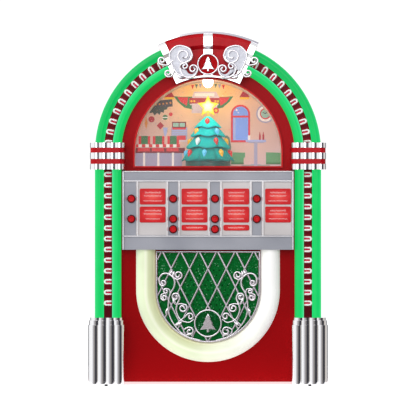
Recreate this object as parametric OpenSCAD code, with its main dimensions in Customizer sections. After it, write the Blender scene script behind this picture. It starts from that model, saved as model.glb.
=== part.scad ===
/* [Body] */
// Height of the centre of the arch above the floor
arch_z = 232; // [228:1:285]
// Half the width of the body and outer radius of its arch
body_r = 111.5; // [109:0.5:134]
// Depth of the body from its front face to its back
body_depth = 104; // [98:1:130]
// Depth of the front shell, the rest being the rear shell
front_depth = 70; // [69:1:84]
// Wall thickness of both shells
wall = 2.6; // [2.2:0.1:3.2]
// Thickness of the back plate of the rear shell
back_wall = 3.2; // [3:0.1:4]
// Height of the rubber feet, which lift the shells off the floor
foot_h = 3; // [2.5:0.1:4]
// How far the front-most trim stands in front of the body
proud = 16; // [16:0.5:20]

/* [Window and stage] */
// Inner radius of the window
window_r = 73.3; // [60:0.1:73.3]
// How far the window sill lies below the centre of the arch
sill_drop = 13.3; // [10:0.1:16]
// Thickness of the clear window lens
lens_thick = 1.8; // [1.2:0.1:2.5]
// Distance from the body face to the printed backdrop
backdrop_t = 66; // [66:1:67]
// Distance from the body face to the axis of the tree
tree_t = 36; // [35:0.5:37]
// Radius of the turntable under the tree
turntable_r = 24; // [20:0.5:26]

/* [Light tubes] */
// Width of each green light tube
tube_w = 9.2; // [8:0.1:9.6]
// Width of the ringed strip between the tubes
strip_w = 8.2; // [7:0.1:9]
// Height of the ringed strip over the face
strip_h = 3; // [2:0.1:4]
// Distance between rings along the straight legs
ring_pitch = 10.7; // [9:0.1:14]
// Angle between rings round the arch
ring_step = 6.2; // [5:0.1:8]

/* [Columns and collars] */
// Width of a column
column_w = 36.4; // [35:0.1:40]
// How far a column stands in front of the face
column_proud = 14; // [12:0.5:16]
// Height of the top of a column
column_top = 67.8; // [55:0.1:90]
// How far columns reach back along the sides
column_wrap = 26; // [18:1:40]
// How far a collar stands in front of the face
collar_proud = 12; // [10:0.5:14]

/* [Crown] */
// Half the angle that the crown covers
crown_half = 24.8; // [22:0.1:28]
// Height of the lower band of the crown over the face
crown_low = 8.5; // [8:0.1:10]
// Height of the upper band of the crown over the face
crown_high = 13; // [12:0.1:14]
// How far the crown reaches back over the top of the body
crown_wrap = 34; // [20:1:50]

/* [Selector panel] */
// Height of the selector panel
panel_h = 78.4; // [74:0.1:90]
// How far the panel face stands in front of the body
panel_proud = 8; // [8:0.1:9]
// Distance between the columns of push buttons
column_pitch = 41.6; // [40:0.1:42]
// Radius of a push button
button_r = 3.2; // [2.6:0.1:3.8]
// Travel of a push button
button_travel = 1.5; // [1:0.1:1.8]
// Width of a title card
card_w = 25.8; // [20:0.1:26]
// Height of a title card
card_h = 15.9; // [12:0.1:16]

/* [Grille and speaker] */
// Outer radius of the grille
grille_r = 52.4; // [48:0.1:54]
// Width of the U-shaped light round the grille
u_light_w = 19.3; // [16:0.1:22]
// Height of the U-shaped light over the face
u_light_h = 6; // [4:0.1:8]
// Horizontal pitch of the diamond lattice
lattice_pitch = 18.35; // [14:0.05:24]
// Width of a lattice bar
lattice_bar = 1.2; // [1:0.1:2]
// Outer radius of the speaker
speaker_r = 33; // [28:0.5:38]

/* [Batteries and controls] */
// Radius of an AA cell
cell_r = 7.25; // [7:0.05:7.3]
// Length of an AA cell
cell_l = 50.5; // [49:0.1:51]
// Number of cells side by side
cells = 4; // [2:1:4]
// Radius of the plug hole of the power inlet
inlet_r = 2.8; // [2:0.1:3.2]
// Travel of the power switch knob
switch_travel = 4; // [3:0.5:5]

/* [Hidden] */
$fn = 64;

// Shared clearances: loose fit between fixed pieces, sliding fit and running fit of shafts
fit = 0.15;
slide = 0.25;
run = 0.05;
cut = 1;

// Places along the depth: t grows from the body face towards the back
face_y = (proud - body_depth) / 2;
lens_t = wall + 2;
stage_t = lens_t + lens_thick;
back_t = body_depth - back_wall;

// Screws, all of one kind
screw_r = 1.25;
screw_l = 8;
screw_head_r = 2.6;
screw_head_h = 1.8;
boss_r = 4.2;
boss_inset = 11.5;
boss_shelf = 4;
boss_angle = 40;

// Window, stage and tree
sill_z = arch_z - sill_drop;
bezel_w = 1.5;
bezel_h = 1.4;
lens_grow = 3;
rib_w = 1.6;
shroud_w = 1.6;
shroud_r = window_r + 2.2;
deck_h = 3;
deck_z = sill_z - 2.7;
deck_front = stage_t + 1.6;
deck_ledge = 9;
card_thick = 1.2;
lamp_r = 5.2;
lamp_t = stage_t + 10;
turntable_h = 1.8;
drum_h = 5.6;
drum_r = turntable_r - 1;
tree_z = deck_z + 0.6 + turntable_h + drum_h;
axle_r = 4;
bush_r = 7;

// Drive: module, teeth and height of the gears under the deck
gear_m = 0.8;
ring_teeth = 54;
pinion_teeth = 18;
gear_h = 5;
gear_z = deck_z - deck_h - 3 - gear_h;
backlash = 0.2;
pressure = 20;
mesh_x = gear_m * (ring_teeth + pinion_teeth) / 2 + 0.05;
motor_w = 25;
motor_h = 22;
motor_z = gear_z - 3;
motor_shaft_r = 1.5;
motor_post = 17;

// Tree tiers from the bottom: height of the hem over the tree foot, hem radius, radius at the top
tiers = [[1.5, 27.5, 16.5], [14.3, 23, 12.5], [26.1, 18.1, 9], [34.8, 14.2, 1.5]];
tree_h = 46.3;
star_z = tree_z + 56.5;
star_r = 11.8;
star_h = 4;
bulb_r = 2.6;
bulb_stem_r = 1.2;
bulb_stem_l = 4;
// Bulbs of a tier: height over the tree foot, distance from the axis, number, first angle
bulb_rows = [[8.5, 22.6, 8, -54], [20.5, 18.5, 6, -34], [30.4, 14.6, 4, -52], [40.6, 8.9, 2, -4]];

// Tubes, from the outside inwards
outer_r = body_r - 2.9;
strip_r = outer_r - (tube_w + strip_w) / 2;
inner_r = strip_r - (tube_w + strip_w) / 2;
tube_wall = 1.4;
tube_lift = 0.7;
board_w = 4.4;
board_h = 1;
led_w = 2;
led_pitch = 21.4;
ring_w = 5.2;
ring_h = 1.2;
ring_slot = 1.7;
ring_l = strip_w - 0.4;
ring_bow = 2.3;
first_ring = 2 * ring_pitch + 0.3;
first_angle = 5.8;

// Columns and collars: plan sizes
column_x = body_r - 10.5;
corner_r = 6;
reed_r = 7;
reed_pitch = 8.2;
groove = 1.4;
skin = 2;
column_steps = [[0.5, 2, 1], [2, column_top - 7.2, 0], [column_top - 7.2, column_top - 2.7, 0.9],
                [column_top - 2.7, column_top, 2]];
collar_w = 35;
collar_x = body_r - 11.3;
collar_wrap = 20;
collar_rows = [5.5, 5, 6.2, 5, 5];
collar_z = arch_z - 16.9;
band_sink = 0.5;
channel_h = 6.4;

// Crown
crown_r0 = window_r + 3.3;
crown_r1 = body_r + 6.2;
crown_step = crown_r1 - 14.6;
crown_skin = 2;
crown_chamfer = 3;
lip_w = 2.6;
low_lip_w = 1.5;
trim_h = 0.9;
end_strip_w = 7;
mid_strip_w = 9.1;
medal_z = arch_z + crown_r0 + 11.2;
medal_r = 10.9;
medal_wire = 1.4;
scroll_low = 7;
scroll_wire = 1.5;

// Selector panel: heights are over the panel's lower edge, depths are behind the panel face
panel_half = inner_r - tube_w / 2 - 1.3;
panel_z = sill_z - 5 - panel_h;
panel_wall = 2.2;
panel_rail = 1.9;
top_bar = 9.2;
bottom_bar = 12.7;
bar_groove = 1.6;
button_x0 = -1.833 * column_pitch;
button_rows = [panel_h - 27.7, panel_h - 47.8, panel_h - 58];
strip_half = 4.7;
card_dx = 21.2;
card_rows = [panel_h - 25.5, panel_h - 43.4];
pill_row = panel_h - 56.5;
pill_h = 5.7;
card_r = 1.6;
card_t = 0.6;
plate_t = 0.8;
rail_w = 2.2;
rail_h = 0.8;
collet_w = 1.2;
collet_h = 0.5;
cap_h = 1.6;
flange_r = button_r + 1.2;
flange_t = panel_wall + 0.1;
flange_h = 1.2;
stem_r = 1.6;
stem_end = flange_t + flange_h + 2.5;
dome_top = stem_end + button_travel + 0.1;
mat_t = dome_top + 1.4;
mat_h = 1;
board_t = mat_t + mat_h;
pcb = 1.6;
post_r = 2.5;
pin_r = 1;
posts = [[-60, panel_h - 17], [-8, panel_h - 17], [33, panel_h - 17], [72, panel_h - 17],
         [-60, panel_h - 61], [72, panel_h - 61]];
opening_half = panel_half - 3.3;
opening_z = [panel_h - 64.7, panel_h - 13.7];
buttons = [[0, 0], [1, 0], [2, 0], [3, 0], [0, 1], [1, 1], [2, 1], [3, 1], [1, 2], [2, 2]];

// U-shaped light, grille and speaker
u_z = panel_z - 40.6;
u_r = grille_r + fit + u_light_w / 2;
u_skin = 1.6;
grille_top = panel_z - 1.2;
grille_rim = 2;
grille_h = 3.2;
backing_h = 0.8;
lattice_h = 1.5;
lattice_z = u_z + 21.4;
badge_z = u_z - 32.9;
badge_r = 14;
badge_wire = 1.7;
ornament_low = backing_h + lattice_h;
ornament_h = 1.6;
grille_wire = 1.4;
hole_pitch = 5.7;
hole_r = 0.7;
speaker_hole = speaker_r - 4;
cone_r = speaker_r - 5;
speaker_d = 20;
magnet_r = speaker_r / 2;
magnet_h = 11;

// Battery bay in the back, seen in the same front-view coordinates
bay_x = -58;
bay_z = foot_h + 20;
cell_gap = 0.3;
bay_w = cells * (2 * cell_r + cell_gap) + 0.8;
contact_l = 4;
bay_h = cell_l + 2 * contact_l;
tray_wall = 1.6;
tray_t = back_t - 2 * cell_r - 1.7;
door_over = 2.2;
door_gap = 0.3;
door_thick = back_wall - 0.4;
hinge_r = door_thick / 2;
hinge_pin_r = 0.8;
hinge_pin_l = 2.2;
grip_w = 18;
door_top = bay_z + bay_h + door_over;
hinge_t = body_depth - door_thick / 2;

// Switch, power inlet, circuit board and vents
switch_x = 36;
switch_z = foot_h + 40;
knob_w = 5;
knob_h = 4.6;
inlet_x = 66;
dish_d = 1.2;
switch_dish = [22, 12, 3];
inlet_dish_r = 7;
vent_z = 205;
vent_pitch = 7;
vent_w = 60;
vent_h = 2.6;
jack_w = 11;
jack_l = 12;
jack_pin_r = 1;
main_x = [14, 86];
main_z = [112, 160];
main_t = back_t - 20;
lip_l = 3;
lip_thick = 1.6;
foot_r = 6;
front_foot_d = 6.5;
rear_foot_t = body_depth - 12;
foot_x = column_x - 6;

// A front-view outline between two depths
module plate(t0, t1) {
    translate([0, face_y + t1, 0]) rotate([90, 0, 0]) linear_extrude(t1 - t0) children();
}

// A round rod along the depth
module rod(x, z, t0, t1, r) {
    translate([x, face_y + t0, z]) rotate([-90, 0, 0]) cylinder(h = t1 - t0, r = r);
}

// A box by its corners in width, depth and height
module box(x0, x1, t0, t1, z0, z1) {
    translate([x0, face_y + t0, z0]) cube([x1 - x0, t1 - t0, z1 - z0]);
}

// A section of radius and height over the face, turned about an axis that runs through the face
module turn(a0, a1, z) {
    translate([0, face_y, z]) rotate([90, 0, 0]) rotate([0, 0, a0])
        rotate_extrude(angle = a1 - a0) children();
}

// The same section run up both sides
module legs(z0, z1) {
    for (side = [0, 1]) {
        mirror([side, 0, 0]) translate([0, face_y, z0]) linear_extrude(z1 - z0) mirror([0, 1]) children();
    }
}

module both_sides() {
    children();
    mirror([1, 0, 0]) children();
}

// Half disc on a straight-sided stretch, an arch above its end or a U below it
module arch_outline(r, zc, z_end) {
    low = z_end < zc ? 0 : -2 * r;
    translate([0, zc]) intersection() {
        circle(r);
        translate([-2 * r, low]) square([4 * r, 2 * r]);
    }
    translate([-r, min(zc, z_end)]) square([2 * r, abs(zc - z_end)]);
}

module body_outline(inset) {
    arch_outline(body_r - inset, arch_z, foot_h + inset);
}

module window_outline(grow) {
    arch_outline(window_r + grow, arch_z, sill_z - grow);
}

module grille_outline(inset) {
    arch_outline(grille_r - inset, u_z, grille_top - inset);
}

module round_rect(w, h, r) {
    translate([-w / 2 + r, -h / 2]) square([w - 2 * r, h]);
    translate([-w / 2, -h / 2 + r]) square([w, h - 2 * r]);
    for (sx = [-1, 1], sz = [-1, 1]) {
        translate([sx * (w / 2 - r), sz * (h / 2 - r)]) circle(r);
    }
}

// Curves for the scrollwork: a smooth line through points, then a curl that winds round a centre
function between(p0, p1, p2, p3, s) = (2 * p1 + (p2 - p0) * s + (2 * p0 - 5 * p1 + 4 * p2 - p3) * s * s
    + (3 * p1 - p0 - 3 * p2 + p3) * s * s * s) / 2;
function smooth(p, n) = [for (i = [0 : len(p) - 2], k = [0 : n - 1])
    between(p[max(i - 1, 0)], p[i], p[i + 1], p[min(i + 2, len(p) - 1)], k / n)];
function curl(start, centre, turns, n) = let (
        arm = start - centre,
        a = atan2(arm[1], arm[0])
    ) [for (k = [0 : n]) centre + norm(arm) * (1 - 0.68 * k / n)
        * [cos(a + 360 * turns * k / n), sin(a + 360 * turns * k / n)]];
function stem(p, centre, turns) = concat(smooth(p, 4), curl(p[len(p) - 1], centre, turns, 16));
function normal(p, i) = let (
        d = p[min(i + 1, len(p) - 1)] - p[max(i - 1, 0)]
    ) [-d[1], d[0]] / norm(d);

// A bent wire of one width, seen from the front
module ribbon(p, w) {
    last = len(p) - 1;
    polygon(concat([for (i = [0 : last]) p[i] + normal(p, i) * w / 2],
                   [for (i = [0 : last]) p[last - i] - normal(p, last - i) * w / 2]));
}

// Fir tree emblem on its trunk, in three tiers
module fir(h) {
    trunk = 0.05;
    polygon(h * [[-trunk, 0], [trunk, 0], [trunk, 0.15], [0.4, 0.13], [0.2, 0.44], [0.27, 0.42],
                 [0.13, 0.69], [0.18, 0.68], [0, 1], [-0.18, 0.68], [-0.13, 0.69], [-0.27, 0.42],
                 [-0.2, 0.44], [-0.4, 0.13], [-trunk, 0.15]]);
}

function boss_spots() = let (r = body_r - boss_inset) [
    [r, foot_h + boss_inset - 0.5], [r, panel_z - 5], [r * cos(boss_angle), arch_z + r * sin(boss_angle)]];

module at_bosses() {
    for (p = boss_spots(), side = [-1, 1]) {
        translate([side * p[0], 0, p[1]]) children();
    }
}

module deck_screw_spots() {
    for (side = [-1, 1], t = [deck_front + 8, backdrop_t - 8]) {
        translate([side * (body_r - wall - deck_ledge / 2), face_y + t, deck_z]) children();
    }
}

module speaker_screw_spots() {
    for (a = [45 : 90 : 315]) {
        translate([(speaker_r + 1) * cos(a), 0, u_z + (speaker_r + 1) * sin(a)]) children();
    }
}

module motor_screw_spots() {
    for (side = [-1, 1]) {
        translate([mesh_x, face_y + tree_t + side * motor_post, motor_z]) children();
    }
}

function board_corners() = [for (x = main_x, z = main_z) [
    x + (x == main_x[0] ? 4 : -4), z + (z == main_z[0] ? 4 : -4)]];

module front_shell() {
    color("firebrick") difference() {
        union() {
            difference() {
                plate(0, front_depth) body_outline(0);
                plate(wall, front_depth + cut) body_outline(wall);
            }
            difference() {
                plate(wall - 0.1, stage_t) window_outline(lens_grow + fit + rib_w);
                plate(0, stage_t + cut) window_outline(lens_grow + fit);
            }
            at_bosses() rod(0, 0, wall - 0.1, front_depth, boss_r);
            speaker_screw_spots() rod(0, 0, wall - 0.1, wall + 9, 3);
            both_sides() {
                box(body_r - wall - deck_ledge, body_r - wall + 0.1, wall - 0.1, backdrop_t,
                    deck_z - deck_h - 5, deck_z - deck_h);
            }
        }
        plate(-cut, wall + cut) window_outline(bezel_w - fit);
        plate(-cut, wall + cut) translate([-opening_half, panel_z + opening_z[0]])
            square([2 * opening_half, opening_z[1] - opening_z[0]]);
        rod(0, u_z, -cut, wall + cut, speaker_hole);
        at_bosses() rod(0, 0, front_depth - screw_l, front_depth + cut, screw_r + run);
        speaker_screw_spots() rod(0, 0, wall + 1, wall + 9 + cut, screw_r + run);
        deck_screw_spots() translate([0, 0, -deck_h - 6]) cylinder(h = 7, r = screw_r + run);
        both_sides() {
            for (r = [outer_r - 3, inner_r]) rod(r, column_top + 12, -cut, wall + cut, 1);
        }
    }
}

module rear_shell() {
    bay_mid = bay_z + bay_h / 2;
    color("firebrick") difference() {
        union() {
            difference() {
                plate(front_depth, body_depth) body_outline(0);
                plate(front_depth - cut, back_t) body_outline(wall);
            }
            difference() {
                union() {
                    plate(front_depth - lip_l, front_depth + lip_l) body_outline(wall + fit);
                    plate(front_depth, front_depth + lip_l) body_outline(wall - 0.1);
                }
                plate(front_depth - lip_l - cut, front_depth + lip_l + cut)
                    body_outline(wall + fit + lip_thick);
            }
            at_bosses() rod(0, 0, front_depth, back_t + 0.1, boss_r + 0.6);
            for (p = board_corners()) rod(p[0], p[1], main_t + pcb, back_t + 0.1, 3);
        }
        at_bosses() rod(0, 0, front_depth - cut, body_depth, screw_r + slide);
        at_bosses() rod(0, 0, front_depth + boss_shelf, body_depth + cut, screw_head_r + 0.4);
        for (p = board_corners())
            rod(p[0], p[1], main_t + pcb - cut, main_t + pcb + screw_l, screw_r + run);
        plate(back_t - cut, body_depth + cut) translate([bay_x, bay_mid])
            square([bay_w + 2 * (door_over + door_gap), bay_h + 2 * (door_over + door_gap) + 2 * hinge_r],
                   center = true);
        translate([bay_x - bay_w / 2 - door_over - door_gap - hinge_pin_l, face_y + hinge_t, door_top])
            rotate([0, 90, 0]) cylinder(h = bay_w + 2 * (door_over + door_gap + hinge_pin_l),
                                        r = hinge_pin_r + run);
        plate(body_depth - dish_d, body_depth + cut) translate([switch_x, switch_z])
            round_rect(switch_dish[0], switch_dish[1], switch_dish[2]);
        plate(back_t - cut, body_depth + cut) translate([switch_x, switch_z])
            square([knob_w + switch_travel + 2 * slide, knob_h + 2 * slide], center = true);
        rod(inlet_x, switch_z, body_depth - dish_d, body_depth + cut, inlet_dish_r);
        rod(inlet_x, switch_z, back_t - cut, body_depth + cut, inlet_r + 1);
        for (k = [0 : 8]) {
            plate(back_t - cut, body_depth + cut) translate([0, vent_z + vent_pitch * k])
                round_rect(vent_w, vent_h, vent_h / 2 - 0.1);
        }
    }
}

module window_bezel() {
    color("red") difference() {
        union() {
            plate(-bezel_h, 0) window_outline(bezel_w);
            plate(0, lens_t) window_outline(bezel_w - 2 * fit);
        }
        plate(-bezel_h - cut, lens_t + cut) window_outline(0);
    }
}

module window_lens() {
    color("azure", 0.35) plate(lens_t, stage_t) window_outline(lens_grow);
}

module stage_shroud() {
    color("mistyrose") difference() {
        plate(stage_t, backdrop_t) arch_outline(shroud_r + shroud_w, arch_z, deck_z);
        plate(stage_t - cut, backdrop_t + cut) arch_outline(shroud_r, arch_z, deck_z - cut);
        translate([0, face_y + lamp_t, arch_z + shroud_r - 8]) cylinder(h = 16, r = lamp_r + slide);
    }
}

module backdrop_panel() {
    color("lightpink") plate(backdrop_t, backdrop_t + card_thick)
        arch_outline(shroud_r + shroud_w, arch_z, deck_z - deck_h);
}

module stage_deck() {
    color("whitesmoke") difference() {
        union() {
            box(-body_r + wall + fit, body_r - wall - fit, deck_front, backdrop_t, deck_z - deck_h, deck_z);
            translate([0, face_y + tree_t, deck_z - deck_h - 2.6]) cylinder(h = 3, r = bush_r);
            motor_screw_spots() cylinder(h = deck_z - deck_h - motor_z + 0.1, r = 3);
        }
        translate([0, face_y + tree_t, deck_z - 9]) cylinder(h = 12, r = axle_r + run);
        motor_screw_spots() translate([0, 0, -cut]) cylinder(h = screw_l, r = screw_r + run);
        deck_screw_spots() translate([0, 0, -deck_h - cut])
            cylinder(h = deck_h + 2 * cut, r = screw_r + slide);
    }
}

module turntable() {
    color("seagreen") translate([0, face_y + tree_t, deck_z]) {
        translate([0, 0, 0.6]) cylinder(h = turntable_h, r = turntable_r);
        translate([0, 0, 0.6 + turntable_h]) cylinder(h = drum_h, r = drum_r);
        translate([0, 0, gear_z - deck_z - 3]) cylinder(h = deck_z - gear_z + 3.7, r = axle_r);
    }
}

// Involute outline: half the tooth angle falls as the flank turns away from the base circle
function inv(a) = tan(a) * 180 / PI - a;
function half_tooth(r, n) = let (rp = gear_m * n / 2) 90 / n - backlash / 4 / rp * 180 / PI
    + inv(pressure) - inv(acos(min(1, rp * cos(pressure) / r)));
function flank(n) = let (rp = gear_m * n / 2, low = max(rp * cos(pressure), rp - 1.25 * gear_m)) [
    [rp - 1.25 * gear_m, half_tooth(low, n) + 0.1], [low, half_tooth(low, n)], [rp, half_tooth(rp, n)],
    [rp + 0.9 * gear_m, half_tooth(rp + 0.9 * gear_m, n)]];
function gear_outline(n) = [for (i = [0 : n - 1], k = [0 : 7]) let (
        f = flank(n)[k < 4 ? k : 7 - k],
        a = 360 * i / n + (k < 4 ? -1 : 1) * f[1]
    ) f[0] * [cos(a), sin(a)]];

module turntable_gear() {
    color("ivory") translate([0, face_y + tree_t, gear_z]) difference() {
        rotate([0, 0, 180 / ring_teeth]) linear_extrude(gear_h) polygon(gear_outline(ring_teeth));
        translate([0, 0, -cut]) cylinder(h = gear_h + 2 * cut, r = axle_r);
    }
}

module drive_pinion() {
    color("gold") translate([mesh_x, face_y + tree_t, gear_z]) {
        linear_extrude(gear_h) polygon(gear_outline(pinion_teeth));
        translate([0, 0, -11]) cylinder(h = 11, r = motor_shaft_r);
    }
}

module gearmotor() {
    color("silver") difference() {
        translate([mesh_x, face_y + tree_t, motor_z]) {
            translate([0, 0, -motor_h]) cylinder(h = motor_h - 2, r = motor_w / 2);
            translate([-motor_w / 2, -motor_post - 5, -2]) cube([motor_w, 2 * motor_post + 10, 2]);
            cylinder(h = 2, r = 4);
        }
        translate([mesh_x, face_y + tree_t, motor_z - 9]) cylinder(h = 12, r = motor_shaft_r + run);
        motor_screw_spots() translate([0, 0, -2 - cut]) cylinder(h = 4, r = screw_r + slide);
    }
}

module at_bulbs() {
    for (row = bulb_rows, i = [0 : row[2] - 1]) {
        translate([0, face_y + tree_t, tree_z + row[0]]) rotate([0, 0, row[3] + 360 * i / row[2] - 90])
            translate([row[1], 0, 0]) children();
    }
}

module tree_body() {
    top = len(tiers) - 1;
    outline = concat([[0, 0], [tiers[0][1] - 3.5, 0]],
        [for (i = [0 : top], k = [0, 1]) k == 0 ? [tiers[i][1], tiers[i][0]]
            : [tiers[i][2], i < top ? tiers[i + 1][0] : tree_h]],
        [[0, tree_h]]);
    color("darkcyan") difference() {
        translate([0, face_y + tree_t, tree_z]) rotate_extrude() polygon(outline);
        at_bulbs() sphere(bulb_r + fit);
        at_bulbs() translate([-bulb_stem_l - fit, 0, 0]) rotate([0, 90, 0])
            cylinder(h = bulb_stem_l, r = bulb_stem_r + run);
    }
}

module tree_star() {
    tips = 5;
    color("gold") translate([0, face_y + tree_t, 0]) {
        translate([0, star_h / 2, star_z]) rotate([90, 0, 0]) linear_extrude(star_h)
            polygon([for (i = [0 : 2 * tips - 1]) (i % 2 == 0 ? star_r : star_r * 0.45)
                * [sin(180 * i / tips), cos(180 * i / tips)]]);
        translate([0, 0, tree_z + tree_h]) cylinder(h = star_z - tree_z - tree_h - 3, r = 1.2);
    }
}

module tree_bulbs() {
    color("orangered") at_bulbs() {
        sphere(bulb_r);
        translate([-bulb_stem_l, 0, 0]) rotate([0, 90, 0]) cylinder(h = bulb_stem_l, r = bulb_stem_r);
    }
}

module scene_lamp() {
    color("white") translate([0, face_y + lamp_t, arch_z + shroud_r - 4]) {
        sphere(lamp_r);
        cylinder(h = 5.6, r = lamp_r);
        translate([0, 0, 5.6]) cylinder(h = 5, r = lamp_r + 3);
    }
}

// Hollow half-round diffuser section at a radius
module tube_section(r) {
    difference() {
        union() {
            translate([r, tube_lift]) intersection() {
                circle(tube_w / 2 - 0.05);
                translate([-tube_w, 0]) square(2 * tube_w);
            }
            translate([r - tube_w / 2 + 0.05, 0]) square([tube_w - 0.1, tube_lift]);
        }
        translate([r, tube_lift]) intersection() {
            circle(tube_w / 2 - tube_wall);
            translate([-tube_w, 0]) square(2 * tube_w);
        }
        translate([r - tube_w / 2 + tube_wall, -cut]) square([tube_w - 2 * tube_wall, tube_lift + cut]);
    }
}

module tube(r) {
    turn(0, 180, arch_z) tube_section(r);
    legs(column_top, arch_z) tube_section(r);
}

module outer_tube() { color("springgreen") tube(outer_r); }

module inner_tube() { color("springgreen") tube(inner_r); }

module strip_section() {
    soft = 1;
    half = strip_w / 2 - 0.05;
    translate([strip_r, 0]) polygon([[-half, 0], [half, 0], [half, strip_h - soft],
        [half - soft, strip_h], [soft - half, strip_h], [-half, strip_h - soft]]);
}

module bubble_strip() {
    color("maroon") {
        turn(0, 180, arch_z) strip_section();
        legs(column_top, arch_z) strip_section();
    }
}

// A horseshoe that opens towards the middle of the jukebox, lying along +X from the strip's middle
module ring_outline() {
    difference() {
        union() {
            translate([ring_l / 2 - ring_w / 2, 0]) circle(ring_w / 2);
            translate([-ring_l / 2, -ring_w / 2]) square([ring_l - ring_w / 2, ring_w]);
        }
        translate([ring_bow - ring_slot, 0]) circle(ring_slot / 2);
        translate([-ring_l, -ring_slot / 2]) square([ring_l + ring_bow - ring_slot, ring_slot]);
    }
}

module strip_rings() {
    leg_rings = floor((arch_z - first_ring - column_top - ring_w) / ring_pitch);
    arch_rings = floor((90 - crown_half - first_angle) / ring_step);
    color("white") both_sides() plate(-strip_h - ring_h, -strip_h) {
        for (k = [0 : leg_rings]) translate([strip_r, arch_z - first_ring - k * ring_pitch]) ring_outline();
        for (k = [0 : arch_rings]) translate([0, arch_z]) rotate(first_angle + k * ring_step)
            translate([strip_r, 0]) ring_outline();
    }
}

module light_boards() {
    led_legs = floor((arch_z - column_top - 10) / led_pitch);
    color("palegreen") {
        for (r = [outer_r, inner_r]) {
            turn(0, 180, arch_z) translate([r - board_w / 2, 0]) square([board_w, board_h]);
            legs(column_top, arch_z) translate([r - board_w / 2, 0]) square([board_w, board_h]);
            both_sides() for (k = [0 : led_legs]) {
                box(r - led_w / 2, r + led_w / 2, -board_h - 0.6, -board_h, arch_z - 6 - k * led_pitch,
                    arch_z - 4 - k * led_pitch);
            }
        }
        turn(180, 360, u_z) translate([u_r - board_w / 2, 0]) square([board_w, board_h]);
        legs(u_z, panel_z - 3) translate([u_r - board_w / 2, 0]) square([board_w, board_h]);
    }
}

// Plan of a reeded upright: width runs along +X from its middle, +Y points forwards
module reeded_plan(w, front, wrap, inset) {
    half = w / 2 - inset;
    nose = front - inset;
    translate([-half, inset - wrap]) square([2 * half, wrap - inset + nose - corner_r]);
    translate([corner_r - half, 0]) square([2 * (half - corner_r), nose - groove - 0.2]);
    for (side = [-1, 1]) {
        translate([side * (half - corner_r), nose - corner_r]) circle(corner_r);
        translate([side * reed_pitch / 2, nose - reed_r]) circle(reed_r);
    }
}

module plain_plan(w, front, wrap, inset) {
    half = w / 2 - inset;
    nose = front - inset;
    translate([-half, inset - wrap]) square([2 * half, wrap - inset + nose - corner_r]);
    translate([corner_r - half, 0]) square([2 * (half - corner_r), nose]);
    for (side = [-1, 1]) translate([side * (half - corner_r), nose - corner_r]) circle(corner_r);
}

module upright(x, z0, z1) {
    translate([x, face_y, z0]) linear_extrude(z1 - z0) mirror([0, 1]) children();
}

module column() {
    color("silver") difference() {
        union() {
            for (s = column_steps) {
                upright(column_x, s[0], s[1]) reeded_plan(column_w, column_proud, column_wrap, s[2]);
            }
        }
        upright(column_x, 5, column_top - skin)
            plain_plan(column_w, column_proud, column_wrap, 2 * skin);
        upright(column_x, 5, column_top - 7.2 - skin)
            plain_plan(column_w, column_proud - groove, column_wrap, skin);
        box(0, body_r + fit, 0, column_wrap + cut, -cut, column_top + cut);
        translate([column_x, face_y - front_foot_d, 0]) cylinder(h = foot_h, r = foot_r + fit);
    }
}

module column_right() { column(); }

module column_left() { mirror([1, 0, 0]) column(); }

function row_z(k) = k == 0 ? collar_z : row_z(k - 1) + collar_rows[k - 1];

module collar_cuts() {
    top = row_z(5) + cut;
    box(inner_r - tube_w / 2 - 0.8, outer_r + tube_w / 2 + fit, -channel_h, cut, collar_z - cut, top);
    box(0, body_r + fit, 0, collar_wrap + cut, collar_z - cut, top);
}

module collar() {
    color("silver") difference() {
        union() {
            for (k = [0, 2, 4]) {
                upright(collar_x, row_z(k), row_z(k + 1))
                    reeded_plan(collar_w, collar_proud, collar_wrap, 0);
            }
            upright(collar_x, row_z(1), row_z(4))
                plain_plan(collar_w, collar_proud, collar_wrap, skin);
        }
        collar_cuts();
    }
}

module collar_right() { collar(); }

module collar_left() { mirror([1, 0, 0]) collar(); }

module collar_bands() {
    color("crimson") both_sides() difference() {
        for (k = [1, 3]) {
            upright(collar_x, row_z(k), row_z(k + 1))
                plain_plan(collar_w, collar_proud, collar_wrap, band_sink);
        }
        upright(collar_x, collar_z, row_z(5)) plain_plan(collar_w, collar_proud, collar_wrap, skin);
        collar_cuts();
    }
}

// Outline of the crown's section, grown by g
function crown_profile(g) = [[crown_r0 - g, 0], [crown_r0 - g, crown_low + g],
    [crown_step - g / 2, crown_low + g], [crown_step + 3.4 - g / 2, crown_high + g],
    [crown_r1 - crown_chamfer, crown_high + g], [crown_r1 + g, crown_high - crown_chamfer],
    [crown_r1 + g, -crown_wrap], [body_r + fit, -crown_wrap], [body_r + fit, 0]];

function crown_hollow(s) = [[crown_r0 + s, -cut], [crown_r0 + s, crown_low - s],
    [crown_step + s / 2, crown_low - s], [crown_step + 3.4 + s / 2, crown_high - s],
    [crown_r1 - crown_chamfer - s / 2, crown_high - s], [crown_r1 - s, crown_high - crown_chamfer - s / 2],
    [crown_r1 - s, s - crown_wrap], [body_r - cut, s - crown_wrap], [body_r - cut, -cut]];

module crown_solid(g) {
    turn(90 - crown_half, 90 + crown_half, arch_z) polygon(crown_profile(g));
}

module crown_body() {
    end_wall = crown_skin / body_r * 180 / PI;
    color("crimson") difference() {
        crown_solid(0);
        turn(90 - crown_half + end_wall, 90 + crown_half - end_wall, arch_z)
            polygon(crown_hollow(crown_skin));
        turn(90 - crown_half - 1, 90 + crown_half + 1, arch_z)
            translate([inner_r - tube_w / 2 - fit, -cut])
                square([outer_r - inner_r + tube_w + 2 * fit, tube_w / 2 + tube_lift + fit + cut]);
        turn(90 - crown_half - 1, 90 + crown_half + 1, arch_z)
            translate([body_r - cut, -crown_wrap - cut]) square([cut + fit, crown_wrap + cut]);
    }
}

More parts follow.
